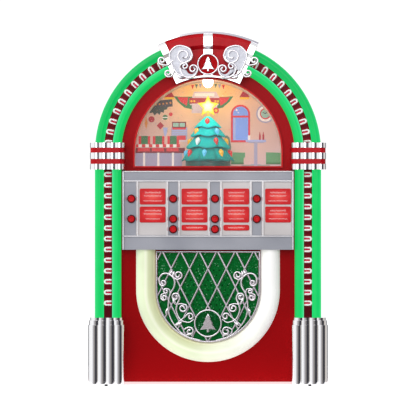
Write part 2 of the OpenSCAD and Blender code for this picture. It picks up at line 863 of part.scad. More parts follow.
// Lips along the outer and the inner edge of the crown
module crown_lips() {
    turn(90 - crown_half, 90 + crown_half, arch_z) {
        polygon([[crown_r1, -crown_wrap], [crown_r1, crown_high - crown_chamfer],
                 [crown_r1 + 0.6, crown_high - 2], [crown_r1 + lip_w, crown_high - 2.8],
                 [crown_r1 + lip_w, -crown_wrap]]);
        translate([crown_r0 - low_lip_w, 0]) square([low_lip_w, crown_low + trim_h]);
    }
}

module crown_trim() {
    tall = crown_high + trim_h + cut;
    color("silver") difference() {
        union() {
            crown_lips();
            intersection() {
                turn(90 - crown_half, 90 + crown_half, arch_z) difference() {
                    polygon(crown_profile(trim_h));
                    polygon(crown_profile(0));
                }
                plate(-tall, cut) translate([0, arch_z]) {
                    for (side = [-1, 1]) rotate(side * crown_half)
                        translate([side > 0 ? 0 : -end_strip_w, 0]) square([end_strip_w, 2 * body_r]);
                    translate([-mid_strip_w / 2, 0]) square([mid_strip_w, 2 * body_r]);
                }
            }
        }
        rod(0, medal_z, -tall, 0, medal_r + fit);
        both_sides() for (p = scroll_pegs) rod(p[0], medal_z + p[1], -tall, 0, peg_r + fit);
    }
}

// Left half of the crown scrolls: places are from the middle line and the medallion's height
big_curl = stem([[-18, -13], [-30, -10], [-37, 2], [-38, 10], [-33, 16.3], [-26.5, 17.8], [-18.5, 14.8],
                 [-15.6, 8.2]], [-23.9, 8.2], -1.2);
heel_curl = stem([[-27, -4], [-26, -10], [-20, -13.8], [-13.5, -12], [-10.6, -7]], [-14.8, -5.2], 1.1);
leaf_curl = stem([[-26, -9], [-28.2, -5], [-27, -1], [-23.2, 0.8]], [-23.2, -2.4], -0.75);
far_curl = stem([[-35, 3], [-40, -1.2], [-46, -0.8]], [-45.7, 3.2], -1.1);
low_curl = stem([[-33, -5], [-36, -12], [-40.5, -12.6]], [-39.4, -9.3], -1);

scroll_pegs = [[-31, 2], [-22, -9]];
peg_r = 1.5;

module scroll_body() {
    polygon(smooth([[-18, -13], [-30, -10], [-37, 2], [-38, 10], [-33, 16.3], [-26.5, 17.8],
                    [-18.5, 14.8], [-17, 9], [-20.5, 3], [-25, 1], [-27, -4], [-24, -9], [-18, -13]], 4));
}

module crown_scrolls() {
    color("silver") both_sides() {
        difference() {
            translate([0, 0, medal_z]) {
                plate(-crown_high - 1.6, -scroll_low) scroll_body();
                plate(-proud, -scroll_low) {
                    for (p = [big_curl, heel_curl, leaf_curl, far_curl, low_curl]) ribbon(p, scroll_wire);
                }
            }
            crown_solid(trim_h);
            crown_lips();
        }
        for (p = scroll_pegs) rod(p[0], medal_z + p[1], -crown_low - 2, -crown_low, peg_r);
    }
}

module crown_medallion() {
    color("silver") translate([0, 0, medal_z]) {
        plate(-crown_low - 1.4, -crown_low) circle(medal_r);
        plate(-crown_low - 3.2, -crown_low) difference() {
            circle(medal_r);
            circle(medal_r - medal_wire);
        }
        plate(-crown_low - 2.6, -crown_low) translate([0, -6.5]) fir(14);
    }
}

function button_x(c) = button_x0 + c * column_pitch;
function card_x(c) = button_x(c) + card_dx;

// Depths on the panel are given behind its front face
module panel_plate(p0, p1) {
    translate([0, 0, panel_z]) plate(p0 - panel_proud, p1 - panel_proud) children();
}

module card_bays(grow) {
    low = bottom_bar + bar_groove;
    high = panel_h - top_bar - bar_groove;
    for (c = [0 : 3]) {
        left = button_x(c) + strip_half;
        right = c < 3 ? button_x(c + 1) - strip_half : panel_half - panel_rail;
        translate([left + fit - grow, low - grow + fit])
            square([right - left - 2 * fit + 2 * grow, high - low - 2 * fit + 2 * grow]);
    }
}

module at_buttons() {
    for (b = buttons) translate([button_x(b[0]), button_rows[b[1]]]) children();
}

module selector_panel() {
    color("lightslategray") difference() {
        union() {
            panel_plate(0, panel_proud) difference() {
                translate([-panel_half, 0]) square([2 * panel_half, panel_h]);
                translate([-panel_half + panel_wall, panel_wall])
                    square([2 * (panel_half - panel_wall), panel_h - 2 * panel_wall]);
            }
            panel_plate(0, panel_wall) translate([-panel_half, 0]) square([2 * panel_half, panel_h]);
            panel_plate(-collet_h, panel_wall) at_buttons() circle(button_r + slide + collet_w);
            panel_plate(-rail_h, panel_wall) {
                for (z = [bottom_bar, panel_h - top_bar - bar_groove])
                    translate([-panel_half, z]) square([2 * panel_half, bar_groove]);
                for (x = [-panel_half, panel_half - panel_rail])
                    translate([x, 0]) square([panel_rail, panel_h]);
            }
            for (p = posts) {
                panel_plate(panel_wall - 0.1, mat_t) translate(p) circle(post_r);
                panel_plate(mat_t - 0.1, board_t + pcb + 0.6) translate(p) circle(pin_r);
            }
        }
        panel_plate(-cut, plate_t) card_bays(fit);
        panel_plate(-cut, panel_wall + cut) at_buttons() circle(button_r + slide);
    }
}

module card_spots() {
    for (c = [0 : 3], z = card_rows) translate([card_x(c), z]) round_rect(card_w, card_h, card_r);
    for (c = [1, 2]) translate([card_x(c), pill_row]) round_rect(card_w, pill_h, card_r);
}

module card_plates() {
    color("gainsboro") {
        panel_plate(0, plate_t) card_bays(0);
        panel_plate(-rail_h, 0.1) for (c = [0 : 3]) {
            left = button_x(c) + strip_half + fit;
            right = c < 3 ? button_x(c + 1) - strip_half : panel_half - panel_rail;
            low = bottom_bar + bar_groove + fit;
            high = panel_h - top_bar - bar_groove - fit;
            for (x = c < 3 ? [left, right - fit - rail_w] : [left])
                translate([x, low]) square([rail_w, high - low]);
        }
    }
}

module title_cards() {
    color("red") panel_plate(-card_t, 0) card_spots();
}

module button(k) {
    b = buttons[k];
    color("red") translate([button_x(b[0]), 0, panel_z + button_rows[b[1]]]) {
        rod(0, 0, -cap_h - panel_proud, flange_t + 0.1 - panel_proud, button_r);
        rod(0, 0, flange_t - panel_proud, flange_t + flange_h - panel_proud, flange_r);
        rod(0, 0, flange_t - panel_proud, stem_end - panel_proud, stem_r);
    }
}

module button_1() { button(0); }

module button_2() { button(1); }

module button_3() { button(2); }

module button_4() { button(3); }

module button_5() { button(4); }

module button_6() { button(5); }

module button_7() { button(6); }

module button_8() { button(7); }

module volume_down_button() { button(8); }

module volume_up_button() { button(9); }

module inner_board(grow) {
    translate([-opening_half + 2, opening_z[0] + 2 - grow])
        square([2 * (opening_half - 2), opening_z[1] - opening_z[0] - 4 + 2 * grow]);
}

module keypad_mat() {
    color("dimgray") difference() {
        union() {
            panel_plate(mat_t, board_t) inner_board(0);
            panel_plate(dome_top, mat_t + 0.1) at_buttons() circle(stem_r + 1);
        }
        panel_plate(mat_t - cut, board_t + cut) for (p = posts) translate(p) circle(pin_r + run);
    }
}

module button_board() {
    color("darkgreen") difference() {
        panel_plate(board_t, board_t + pcb) inner_board(0);
        panel_plate(board_t - cut, board_t + pcb + cut) for (p = posts) translate(p) circle(pin_r + run);
    }
}

// Half-lens section of the U-shaped light, hollow at the back
module u_section() {
    function lens_r(half, h) = (half * half + h * h) / 2 / h;
    half = u_light_w / 2;
    bend = lens_r(half, u_light_h);
    translate([u_r, 0]) difference() {
        intersection() {
            translate([0, u_light_h - bend]) circle(bend);
            translate([-u_light_w, 0]) square(2 * u_light_w);
        }
        intersection() {
            translate([0, u_light_h - bend]) circle(bend - u_skin);
            translate([-u_light_w, -cut]) square(2 * u_light_w);
        }
    }
}

module u_light_lens() {
    color("lightyellow") {
        turn(180, 360, u_z) u_section();
        legs(u_z, panel_z) u_section();
    }
}

module lattice() {
    reach = 6;
    slope = atan(2);
    for (k = [-reach : reach], side = [-1, 1]) {
        translate([k * lattice_pitch, lattice_z]) rotate(side * slope)
            square([6 * grille_r, lattice_bar], center = true);
    }
}

module grille_frame() {
    color("silver") {
        plate(-grille_h, 0) difference() {
            grille_outline(0);
            grille_outline(grille_rim);
        }
        plate(-backing_h - lattice_h, -backing_h) intersection() {
            lattice();
            grille_outline(grille_rim - 0.1);
        }
    }
}

// Left half of the grille scrolls: places are from the middle line and the centre of the grille's arc
outer_stem = stem([[-8, -49.8], [-22.9, -45.2], [-33.2, -34.9], [-38.6, -24.5], [-39.6, -14.2],
                   [-37.8, -3.9], [-33.6, 4.2], [-34, 11.5], [-39.2, 16.3], [-44.8, 16.5], [-48.3, 12.5],
                   [-48.4, 8]], [-44.8, 7.6], 1.1);
inner_stem = stem([[-14.3, -29.1], [-19.5, -32], [-27.5, -29.1], [-31.5, -21.1], [-30.9, -14.2],
                   [-28.4, -8.5], [-29.6, -4]], [-32.5, -6.7], 1);
leaf_stem = stem([[-39.2, 16.3], [-34.5, 12.8], [-30.5, 10.8], [-26.8, 12.4]], [-29.8, 15.1], 1);
side_stem = stem([[-37.8, -3.9], [-38.6, 0.8], [-42.5, 1.6]], [-41.9, -1], 0.9);
back_stem = stem([[-41, -2.6], [-46.5, -4.4], [-46.8, -8]], [-43.9, -7.2], 1);
mid_stem = stem([[-30.9, -14.2], [-26.8, -13.4], [-22, -14.6]], [-25.2, -17.6], -1);
hook_stem = stem([[-33.2, -34.9], [-24.5, -27.6], [-21, -24.6]], [-17.7, -26.3], -1);
foot_stem = stem([[-22.9, -45.2], [-24, -39.5], [-19.2, -36.8]], [-18.4, -41], -1);

module grille_ornament() {
    low = ornament_low;
    color("silver") translate([0, 0, u_z]) {
        both_sides() plate(-low - ornament_h, -low) intersection() {
            union() for (p = [outer_stem, inner_stem, leaf_stem, side_stem, back_stem, mid_stem, hook_stem,
                              foot_stem]) ribbon(p, grille_wire);
            translate([0, -u_z]) grille_outline(grille_rim + fit);
        }
        translate([0, 0, badge_z - u_z]) {
            plate(-low - 0.8, -low) circle(badge_r - 0.2);
            plate(-low - ornament_h, -low) difference() {
                circle(badge_r);
                circle(badge_r - badge_wire);
            }
            plate(-low - ornament_h, -low) translate([0, -8]) fir(17);
        }
    }
}

module grille_backing() {
    rows = floor(speaker_hole / hole_pitch);
    color("green") plate(-backing_h, 0) difference() {
        grille_outline(grille_rim + fit);
        for (i = [-rows : rows], j = [-rows : rows]) {
            x = (i + (j % 2 == 0 ? 0 : 0.5)) * hole_pitch;
            z = j * hole_pitch * 0.866;
            if (norm([x, z]) < speaker_hole - 2) translate([x, u_z + z]) circle(hole_r);
        }
    }
}

module speaker_frame() {
    top = wall + speaker_d;
    color("dimgray") difference() {
        translate([0, face_y + wall, u_z]) rotate([-90, 0, 0]) rotate_extrude() polygon([
            [cone_r, 0], [speaker_r + 4, 0], [speaker_r + 4, 1.2], [cone_r + 1.6, 1.2],
            [magnet_r - 2, speaker_d - 2], [magnet_r, speaker_d], [magnet_r, speaker_d + magnet_h],
            [0, speaker_d + magnet_h], [0, speaker_d - 2], [magnet_r - 5, speaker_d - 2], [cone_r, 2.4]]);
        speaker_screw_spots() rod(0, 0, 0, 6, 3 + fit);
    }
}

module speaker_cone() {
    color("black") translate([0, face_y + wall, u_z]) rotate([-90, 0, 0]) rotate_extrude() polygon([
        [0, 6], [5, 7], [9, 11.2], [cone_r - 3, 1.6], [cone_r - 1.5, 1], [cone_r, 1.4], [cone_r, 2.4],
        [cone_r - 2.6, 2.6], [9, 12.4], [8, 12.6], [4.4, 8.2], [0, 7.2]]);
}

module main_board() {
    color("darkgreen") difference() {
        union() {
            box(main_x[0], main_x[1], main_t, main_t + pcb, main_z[0], main_z[1]);
            box(main_x[0] + 20, main_x[0] + 34, main_t - 2.4, main_t + 0.1, main_z[0] + 14, main_z[0] + 28);
            box(main_x[1] - 26, main_x[1] - 18, main_t - 6, main_t + 0.1, main_z[0] + 8, main_z[0] + 22);
            for (k = [0 : 2]) rod(main_x[0] + 42 + 9 * k, main_z[1] - 10, main_t - 9, main_t + 0.1, 3.2);
        }
        for (p = board_corners()) rod(p[0], p[1], main_t - cut, main_t + pcb + cut, screw_r + slide);
    }
}

module battery_tray() {
    mid = bay_z + bay_h / 2;
    color("dimgray") difference() {
        union() {
            plate(tray_t, back_t) translate([bay_x, mid])
                square([bay_w + 2 * tray_wall, bay_h + 2 * tray_wall], center = true);
            plate(back_t - tray_wall, back_t) translate([bay_x, mid])
                square([bay_w + 16, bay_h + 16], center = true);
        }
        plate(tray_t + tray_wall, back_t + cut) translate([bay_x, mid])
            square([bay_w, bay_h], center = true);
    }
}

function cell_x(k) = bay_x + (k - (cells - 1) / 2) * (2 * cell_r + cell_gap);

// Flat contacts with a raised button at one end of a cell and a coned spring at the other
module battery_contacts() {
    contact = 0.5;
    color("lightgray") for (k = [0 : cells - 1]) {
        up = k % 2 == 0;
        mid_t = back_t - cell_r - 0.05;
        translate([cell_x(k), face_y + mid_t, up ? bay_z : bay_z + bay_h]) mirror([0, 0, up ? 0 : 1]) {
            translate([-5, -5, 0]) cube([10, 10, contact]);
            difference() {
                cylinder(h = contact_l, r1 = 4.5, r2 = 2.8);
                translate([0, 0, contact]) cylinder(h = contact_l, r1 = 3.9, r2 = 2.2);
            }
        }
        translate([cell_x(k), face_y + mid_t, up ? bay_z + bay_h : bay_z]) mirror([0, 0, up ? 1 : 0]) {
            translate([-5, -5, 0]) cube([10, 10, contact]);
            cylinder(h = contact_l - 1.5, r = 2.5);
        }
    }
}

module batteries() {
    color("goldenrod") for (k = [0 : cells - 1]) {
        up = k % 2 == 0;
        z0 = bay_z + contact_l;
        translate([cell_x(k), face_y + back_t - cell_r - run, up ? z0 : z0 + cell_l])
            mirror([0, 0, up ? 0 : 1]) {
            cylinder(h = cell_l, r = cell_r);
            cylinder(h = cell_l + 1.5, r = 2.6);
        }
    }
}

module battery_door() {
    half = bay_w / 2 + door_over;
    low = bay_z - door_over;
    color("firebrick") difference() {
        union() {
            box(bay_x - half, bay_x + half, body_depth - door_thick, body_depth, low, door_top);
            translate([bay_x - half, face_y + hinge_t, door_top]) rotate([0, 90, 0])
                cylinder(h = 2 * half, r = hinge_r);
            translate([bay_x - half - hinge_pin_l, face_y + hinge_t, door_top]) rotate([0, 90, 0])
                cylinder(h = 2 * (half + hinge_pin_l), r = hinge_pin_r);
        }
        translate([bay_x - grip_w / 2, face_y + body_depth + 2, low + 8]) rotate([0, 90, 0])
            cylinder(h = grip_w, r = 3.6);
    }
}

module switch_body() {
    knob_room = (knob_w + switch_travel) / 2 + slide;
    color("dimgray") difference() {
        box(switch_x - 9, switch_x + 9, back_t - 8, back_t, switch_z - 5, switch_z + 5);
        box(switch_x - knob_room, switch_x + knob_room, back_t - 2.4, back_t + cut,
            switch_z - knob_h / 2 - slide, switch_z + knob_h / 2 + slide);
    }
}

module switch_knob() {
    left = switch_x - (knob_w + switch_travel) / 2;
    color("black") difference() {
        box(left, left + knob_w, back_t - 2, body_depth - 0.2,
            switch_z - knob_h / 2, switch_z + knob_h / 2);
        for (k = [1 : 3]) {
            box(left + k * knob_w / 4 - 0.25, left + k * knob_w / 4 + 0.25, body_depth - 0.7,
                body_depth + cut, switch_z - knob_h, switch_z + knob_h);
        }
    }
}

module power_jack() {
    color("black") {
        difference() {
            union() {
                box(inlet_x - jack_w / 2, inlet_x + jack_w / 2, back_t - jack_l, back_t,
                    switch_z - jack_w / 2, switch_z + jack_w / 2);
                rod(inlet_x, switch_z, back_t - cut, body_depth - dish_d, inlet_r + 1 - fit);
            }
            rod(inlet_x, switch_z, back_t - 9, body_depth + cut, inlet_r);
        }
        rod(inlet_x, switch_z, back_t - 9.5, body_depth - dish_d - 1, jack_pin_r);
    }
}

module feet() {
    color("black") for (side = [-1, 1]) {
        translate([side * column_x, face_y - front_foot_d, 0]) cylinder(h = foot_h, r = foot_r);
        translate([side * foot_x, face_y + rear_foot_t, 0]) cylinder(h = foot_h, r = foot_r);
    }
}

module screw() {
    cylinder(h = screw_head_h, r = screw_head_r);
    translate([0, 0, -screw_l]) cylinder(h = screw_l + 0.1, r = screw_r);
}

module screws() {
    color("lightgray") {
        at_bosses() translate([0, face_y + front_depth + boss_shelf, 0]) rotate([-90, 0, 0]) screw();
        speaker_screw_spots() translate([0, face_y + wall + 9, 0]) rotate([-90, 0, 0]) screw();
        deck_screw_spots() screw();
        motor_screw_spots() translate([0, 0, -2]) mirror([0, 0, 1]) screw();
        for (p = board_corners()) {
            translate([p[0], face_y + main_t, p[1]]) rotate([90, 0, 0]) screw();
        }
    }
}

front_shell();
rear_shell();
window_bezel();
window_lens();
stage_shroud();
backdrop_panel();
stage_deck();
turntable();
turntable_gear();
tree_body();
tree_star();
tree_bulbs();
drive_pinion();
gearmotor();
scene_lamp();
outer_tube();
inner_tube();
bubble_strip();
strip_rings();
light_boards();
column_left();
column_right();
collar_left();
collar_right();
collar_bands();
crown_body();
crown_trim();
crown_scrolls();
crown_medallion();
selector_panel();
card_plates();
title_cards();
button_1();
button_2();
button_3();
button_4();
button_5();
button_6();
button_7();
button_8();
volume_down_button();
volume_up_button();
keypad_mat();
button_board();
u_light_lens();
grille_frame();
grille_ornament();
grille_backing();
speaker_frame();
speaker_cone();
main_board();
battery_tray();
battery_contacts();
batteries();
battery_door();
switch_body();
switch_knob();
power_jack();
feet();
screws();
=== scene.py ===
"""Looks for the table-top jukebox: finishes for its moulded and plated parts, and the fine pieces that
replace the plain ones (rings, scrollwork, lattice, fir tree, bulbs, title cards, printed room)."""
import math
import random

import bmesh
import bpy
from mathutils import Matrix, Vector


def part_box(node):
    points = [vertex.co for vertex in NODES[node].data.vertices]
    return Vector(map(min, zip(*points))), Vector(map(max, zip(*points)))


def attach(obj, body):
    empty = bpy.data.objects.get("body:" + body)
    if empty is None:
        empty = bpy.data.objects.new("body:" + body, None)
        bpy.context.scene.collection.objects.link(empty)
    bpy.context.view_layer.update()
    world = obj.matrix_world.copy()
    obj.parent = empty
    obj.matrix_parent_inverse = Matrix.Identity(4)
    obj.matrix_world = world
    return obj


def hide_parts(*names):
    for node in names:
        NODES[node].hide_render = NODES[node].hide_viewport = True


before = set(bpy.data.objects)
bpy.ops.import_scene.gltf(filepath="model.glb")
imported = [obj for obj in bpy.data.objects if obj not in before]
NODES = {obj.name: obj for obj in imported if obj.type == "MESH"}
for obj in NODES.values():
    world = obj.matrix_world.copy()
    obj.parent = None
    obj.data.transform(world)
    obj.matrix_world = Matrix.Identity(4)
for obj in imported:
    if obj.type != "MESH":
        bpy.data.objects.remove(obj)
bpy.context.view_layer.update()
MM = 0.001


# ---- places, all from the frame

def low(node):
    """Lowest corner of a node, in millimetres."""
    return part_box(node)[0] / MM


def high(node):
    """Highest corner of a node, in millimetres."""
    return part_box(node)[1] / MM


FACE_Y = low("front_shell").y
ARCH_Z = high("outer_tube").z - high("outer_tube").x
TUBE_HALF = 4.55
OUTER_R = high("outer_tube").x - TUBE_HALF
INNER_R = high("inner_tube").x - TUBE_HALF
STRIP_R = (OUTER_R + INNER_R) / 2
STRIP_Y = low("bubble_strip").y
RING_Y = low("strip_rings").y
LEG_TOP = ARCH_Z - 21.7
LEG_END = low("bubble_strip").z
RING_PITCH = 10.7
FIRST_ANGLE = 5.8
RING_STEP = 6.2
CROWN_HALF = 24.8
GRILLE_R = high("grille_frame").x
GRILLE_TOP = high("grille_frame").z
U_Z = low("grille_frame").z + GRILLE_R
U_OUTER = high("u_light_lens").x
MEDAL_Z = (low("crown_medallion").z + high("crown_medallion").z) / 2
MEDAL_R = high("crown_medallion").x
MEDAL_Y = low("crown_medallion").y
TREE_AXIS_Y = (low("turntable").y + high("turntable").y) / 2
TREE_Z = low("tree_body").z
CARD_Y = low("backdrop_panel").y
PANEL_Y = low("title_cards").y
ROOM_R = high("backdrop_panel").x
ROOM_FLOOR = low("window_bezel").z + 1.5 - ARCH_Z


# ---- colour and material helpers

LIT = ("Base Color", "Emission Color")


def linear(colour):
    """An sRGB hex colour as linear RGBA."""
    values = [int(colour[i:i + 2], 16) / 255 for i in (1, 3, 5)]
    return [v / 12.92 if v <= 0.04045 else ((v + 0.055) / 1.055) ** 2.4 for v in values] + [1.0]


def per(size):
    """Texture scale that makes one cell of a pattern this many millimetres wide."""
    return 1 / (size * MM)


class Shades:
    """The shader nodes of one material or world."""

    def __init__(self, tree):
        self.tree = tree

    def add(self, kind, links=None, **settings):
        """Adds one node with its settings; each link is a value or another node's output."""
        node = self.tree.nodes.new("ShaderNode" + kind)
        for key, value in settings.items():
            setattr(node, key, value)
        for key, value in (links or {}).items():
            if isinstance(value, bpy.types.NodeSocket):
                self.tree.links.new(value, node.inputs[key])
            else:
                node.inputs[key].default_value = value
        return node

    def calc(self, operation, a, b=0.0):
        """One step of arithmetic."""
        return self.add("Math", {0: a, 1: b}, operation=operation).outputs[0]

    def vector(self, operation, a, b=(0, 0, 0)):
        """One step of arithmetic on vectors."""
        node = self.add("VectorMath", {0: a, 1: b}, operation=operation)
        return node.outputs["Value" if operation in ("LENGTH", "DISTANCE") else "Vector"]

    def xyz(self, vector):
        """The three parts of a vector."""
        return self.add("SeparateXYZ", {"Vector": vector}).outputs

    def ramp(self, factor, *stops):
        """Colours laid out along a value: stops are (place, hex colour)."""
        node = self.add("ValToRGB", {"Fac": factor})
        while len(node.color_ramp.elements) < len(stops):
            node.color_ramp.elements.new(0.5)
        for element, (place, colour) in zip(node.color_ramp.elements, stops):
            element.position = place
            element.color = linear(colour)
        return node.outputs["Color"]

    def mix(self, factor, first, second, mode="MIX"):
        """Two colours blended by a factor."""
        return self.add("MixRGB", {"Fac": factor, "Color1": first, "Color2": second},
                blend_type=mode).outputs["Color"]

    def span(self, value, start, end, least=0.0, most=1.0):
        """A value brought to its least at start and its most at end."""
        return self.add("MapRange", {"Value": value, "From Min": start, "From Max": end, "To Min": least,
                "To Max": most}).outputs["Result"]

    def scaled(self, colour, share):
        """A colour made lighter or darker by a share."""
        return self.add("HueSaturation", {"Color": colour, "Value": share}).outputs["Color"]


class Finish(Shades):
    """A Principled material with its constant values; place is the position in space."""

    def __init__(self, name, colour, rough, metal=0.0, **sockets):
        self.material = bpy.data.materials.new(name)
        self.material.use_nodes = True
        super().__init__(self.material.node_tree)
        self.shader = self.tree.nodes["Principled BSDF"]
        sockets.update(Base_Color=linear(colour), Roughness=rough, Metallic=metal)
        for key, value in sockets.items():
            self.shader.inputs[key.replace("_", " ")].default_value = value
        self.place = self.add("TexCoord").outputs["Object"]

    def paint(self, value, *names):
        """Links a value to the shader's named sockets, or to its base colour."""
        for name in names or LIT[:1]:
            self.tree.links.new(value, self.shader.inputs[name])

    def bump(self, height, depth):
        """Relief of the given depth in millimetres."""
        node = self.add("Bump", {"Height": height, "Distance": depth * MM, "Strength": 1.0})
        self.paint(node.outputs["Normal"], "Normal")

    def done(self, colour, height, depth, *names):
        """Paints and embosses the finish, and hands over its material."""
        self.paint(colour, *names)
        self.bump(height, depth)
        return self.material

    def grain(self, size, detail=3.0, place=None, **more):
        """Soft random variation with patches of this size in millimetres."""
        links = {"Vector": place or self.place, "Scale": per(size), "Detail": detail, **more}
        return self.add("TexNoise", links).outputs["Fac"]

    def mottle(self, colour, factor, amount):
        """A colour made a little lighter and darker by a value that varies around one half."""
        return self.scaled(colour, self.span(factor, 0.0, 1.0, 1 - amount, 1 + amount))

    def hollow(self, reach, samples):
        """How open a spot is, from 0 in deep hollows to 1, judged within this reach in millimetres."""
        return self.add("AmbientOcclusion", {"Distance": reach * MM}, samples=samples).outputs["AO"]

    def flakes(self, size):
        """Cells of this size in millimetres."""
        return self.add("TexVoronoi", {"Vector": self.place, "Scale": per(size)}).outputs

    def arch_radius(self, centre_z, limit="MAXIMUM"):
        """Distance in millimetres from the middle line of the legs, or from the centre in the round part."""
        split = self.xyz(self.place)
        rise = self.calc(limit, self.calc("SUBTRACT", split["Z"], centre_z * MM))
        flat = self.add("CombineXYZ", {"X": split["X"], "Z": rise})
        return self.calc("MULTIPLY", self.vector("LENGTH", flat.outputs[0]), 1 / MM)

    def height_in(self, start, end, *limits):
        """Height between two levels in millimetres, from 0 to 1 or between the limits."""
        return self.span(self.xyz(self.place)["Z"], start * MM, end * MM, *limits)


# ---- finishes

def moulded(name, colour, rough, dark, light, size, fine, depth, edge=0.3, **sockets):
    """Moulded or sprayed plastic: soft patches from dark to light under a finer relief."""
    f = Finish(name, colour, rough, **sockets)
    return f.done(f.ramp(f.grain(size), (edge, dark), (1 - edge, light)), f.grain(fine), depth)


def even(name, colour, rough, size, amount, *names, **sockets):
    """One colour, a little lighter and darker in soft patches, on the named sockets."""
    f = Finish(name, colour, rough, **sockets)
    f.paint(f.mottle(linear(colour), f.grain(size), amount), *names)
    return f


def gloss_red_abs():
    """High-gloss wine red ABS: flat and deep, with a faint flow ripple; painted light makes it brighter towards the
    top, round the window.
    """
    f = Finish("gloss_red_abs", "#960710", 0.25, Specular_IOR_Level=0.06)
    # painted light: the red grows brighter from 150 to 250 mm up, for the light round the window
    colour = f.ramp(f.height_in(150, 250), (0.0, "#96060B"), (0.7, "#9C0910"), (1.0, "#A60D15"))
    return f.done(f.mottle(colour, f.grain(40, 1.0), 0.06), f.grain(9), 0.02)


def satin_red_abs():
    """Spark-eroded ABS of the rear shell: the same red with a matt grain, 0.6 mm so that it shows."""
    return moulded("satin_red_abs", "#8E070E", 0.46, "#86060C", "#980810", 14, 0.6, 0.03,
            Specular_IOR_Level=0.15)


def red_abs_with_painted_stage_light():
    """Glossy red ABS, as the window rim: a brighter red than the shell's, painted light for the warm stage light on it,
    with a clear highlight along its edges.
    """
    # painted light: this brighter copy of the shell red stands in for the stage light falling on the rim
    return moulded("red_abs_with_painted_stage_light", "#CC1016", 0.2, "#BE0A10", "#D01218", 12, 5, 0.01,
            Specular_IOR_Level=0.15)


def red_lacquer(name, dark, light):
    """Glossy lacquer sprayed on plastic: depth under a clear coat, with orange peel of about 1 mm."""
    return moulded(name, light, 0.3, dark, light, 10, 1.1, 0.008, 0.25, Specular_IOR_Level=0.08,
            Coat_Weight=0.12, Coat_Roughness=0.06)


def cream_polystyrene():
    """Satin cream polystyrene, as the lining of the stage: even and slightly waxy."""
    return moulded("cream_polystyrene", "#F2DDD0", 0.5, "#EED6C8", "#F6E4D8", 20, 0.8, 0.01,
            Subsurface_Weight=0.1)


def moulded_green_abs():
    """Moulded dark green ABS of the turntable drum, with a soft sheen and flow marks."""
    return moulded("moulded_green_abs", "#0B5A50", 0.34, "#084A42", "#0E6C60", 7, 2, 0.02)


def moulded_plastic(name, dark, light, rough, size=3.0):
    """Plain moulded plastic or rubber of an inner part, with a light mould grain."""
    return moulded(name, light, rough, dark, light, size, 0.7, 0.02)


def clear_polycarbonate():
    """Clear polycarbonate sheet: all but invisible, with a faint gloss and hairline scuffs."""
    f = Finish("clear_polycarbonate", "#F4F8FA", 0.04, IOR=1.58, Alpha=0.04, Specular_IOR_Level=0.1)
    f.paint(f.calc("MULTIPLY", f.span(f.grain(6, 6.0, Distortion=2.0), 0.0, 1.0), 0.1), "Roughness")
    return f.material


def card_with_painted_lamp_light():
    """Printed card with painted light: a warm pool of lamp light by the lamp, pink below, and a faint glow though the
    card is no lamp; with paper fibre.
    """
    # painted light: the emission makes the card glow though it is no lamp
    f = Finish("card_with_painted_lamp_light", "#F0D6C8", 0.7, Emission_Strength=0.2)
    away = f.vector("DISTANCE", f.place, (0, CARD_Y * MM, (ARCH_Z + ROOM_R) * MM))
    # painted pool of lamp light: yellow next to the lamp, fading to pink further away
    colour = f.ramp(f.span(away, 0.0, 110 * MM), (0.0, "#FFE9B4"), (0.2, "#FBCB84"), (0.38, "#F6C8A0"),
            (0.6, "#E2BCAC"), (0.85, "#D8BAB4"), (1.0, "#D6BEC4"))
    fibre = f.grain(1.6)
    return f.done(f.mottle(colour, fibre, 0.05), fibre, 0.01, *LIT)


def print_ink(name, colour):
    """Litho ink on card, a little uneven, with the paper fibre showing through, and a faint painted glow though the
    print is no lamp.
    """
    # painted light: Emission_Strength makes the ink glow
    return even(name, colour, 0.6, 1.2, 0.08, *LIT, Emission_Strength=0.24).material


def tinted_acrylic(name, colour, glow):
    """Tinted acrylic bulb: strong colour with a hard bright highlight and a faint painted glow, though the bulb is no
    lamp.
    """
    # painted light: the glow is emission on an unlit bulb
    return even(name, colour, 0.08, 3, 0.15, *LIT, Coat_Weight=1.0, Coat_Roughness=0.03,
            Emission_Strength=glow).material


def white_abs(name, colour, rough):
    """Glossy white ABS: clean with a soft bounce of its surroundings."""
    f = even(name, colour, rough, 5, 0.04)
    f.bump(f.grain(2), 0.01)
    return f.material


def pearl_green_paint():
    """Pearl paint on the moulded tree: painted light makes it pale teal above and deeper green at the foot, painted
    shade darkens the folds, and a faint painted glow lights it though it is no lamp.
    """
    # painted light: Emission_Strength makes the tree glow
    f = Finish("pearl_green_paint", "#1FA79E", 0.5, Specular_IOR_Level=0.04, Emission_Strength=0.2)
    # painted light: the teal grows paler towards the top
    colour = f.ramp(f.height_in(TREE_Z, TREE_Z + 46), (0.0, "#008880"), (0.2, "#00A89C"), (0.5, "#00C0BC"),
            (0.8, "#00D0D4"), (1.0, "#10DCE0"))
    # painted shade: an ambient-occlusion ramp darkens the folds
    shade = f.ramp(f.hollow(5, 6), (0.2, "#10584C"), (0.6, "#FFFFFF"))
    fold_shaded = f.mix(1.0, colour, shade, "MULTIPLY")
    return f.done(f.mottle(fold_shaded, f.grain(2.4), 0.2), f.grain(1.0), 0.03, *LIT)


def lit_plastic(name, core, edge, glow, centre, reach):
    """Translucent moulded plastic lit from inside: pale in the middle, full colour towards its edge."""
    f = Finish(name, edge, 0.4, Emission_Strength=glow, Specular_IOR_Level=0.1)
    away = f.vector("DISTANCE", f.place, [c * MM for c in centre])
    colour = f.ramp(f.span(away, 0.0, reach * MM), (0.25, core), (0.9, edge))
    cloud = f.mottle(colour, f.grain(2), 0.05)
    f.paint(cloud, "Emission Color")
    f.paint(f.scaled(cloud, 0.25))
    return f.material


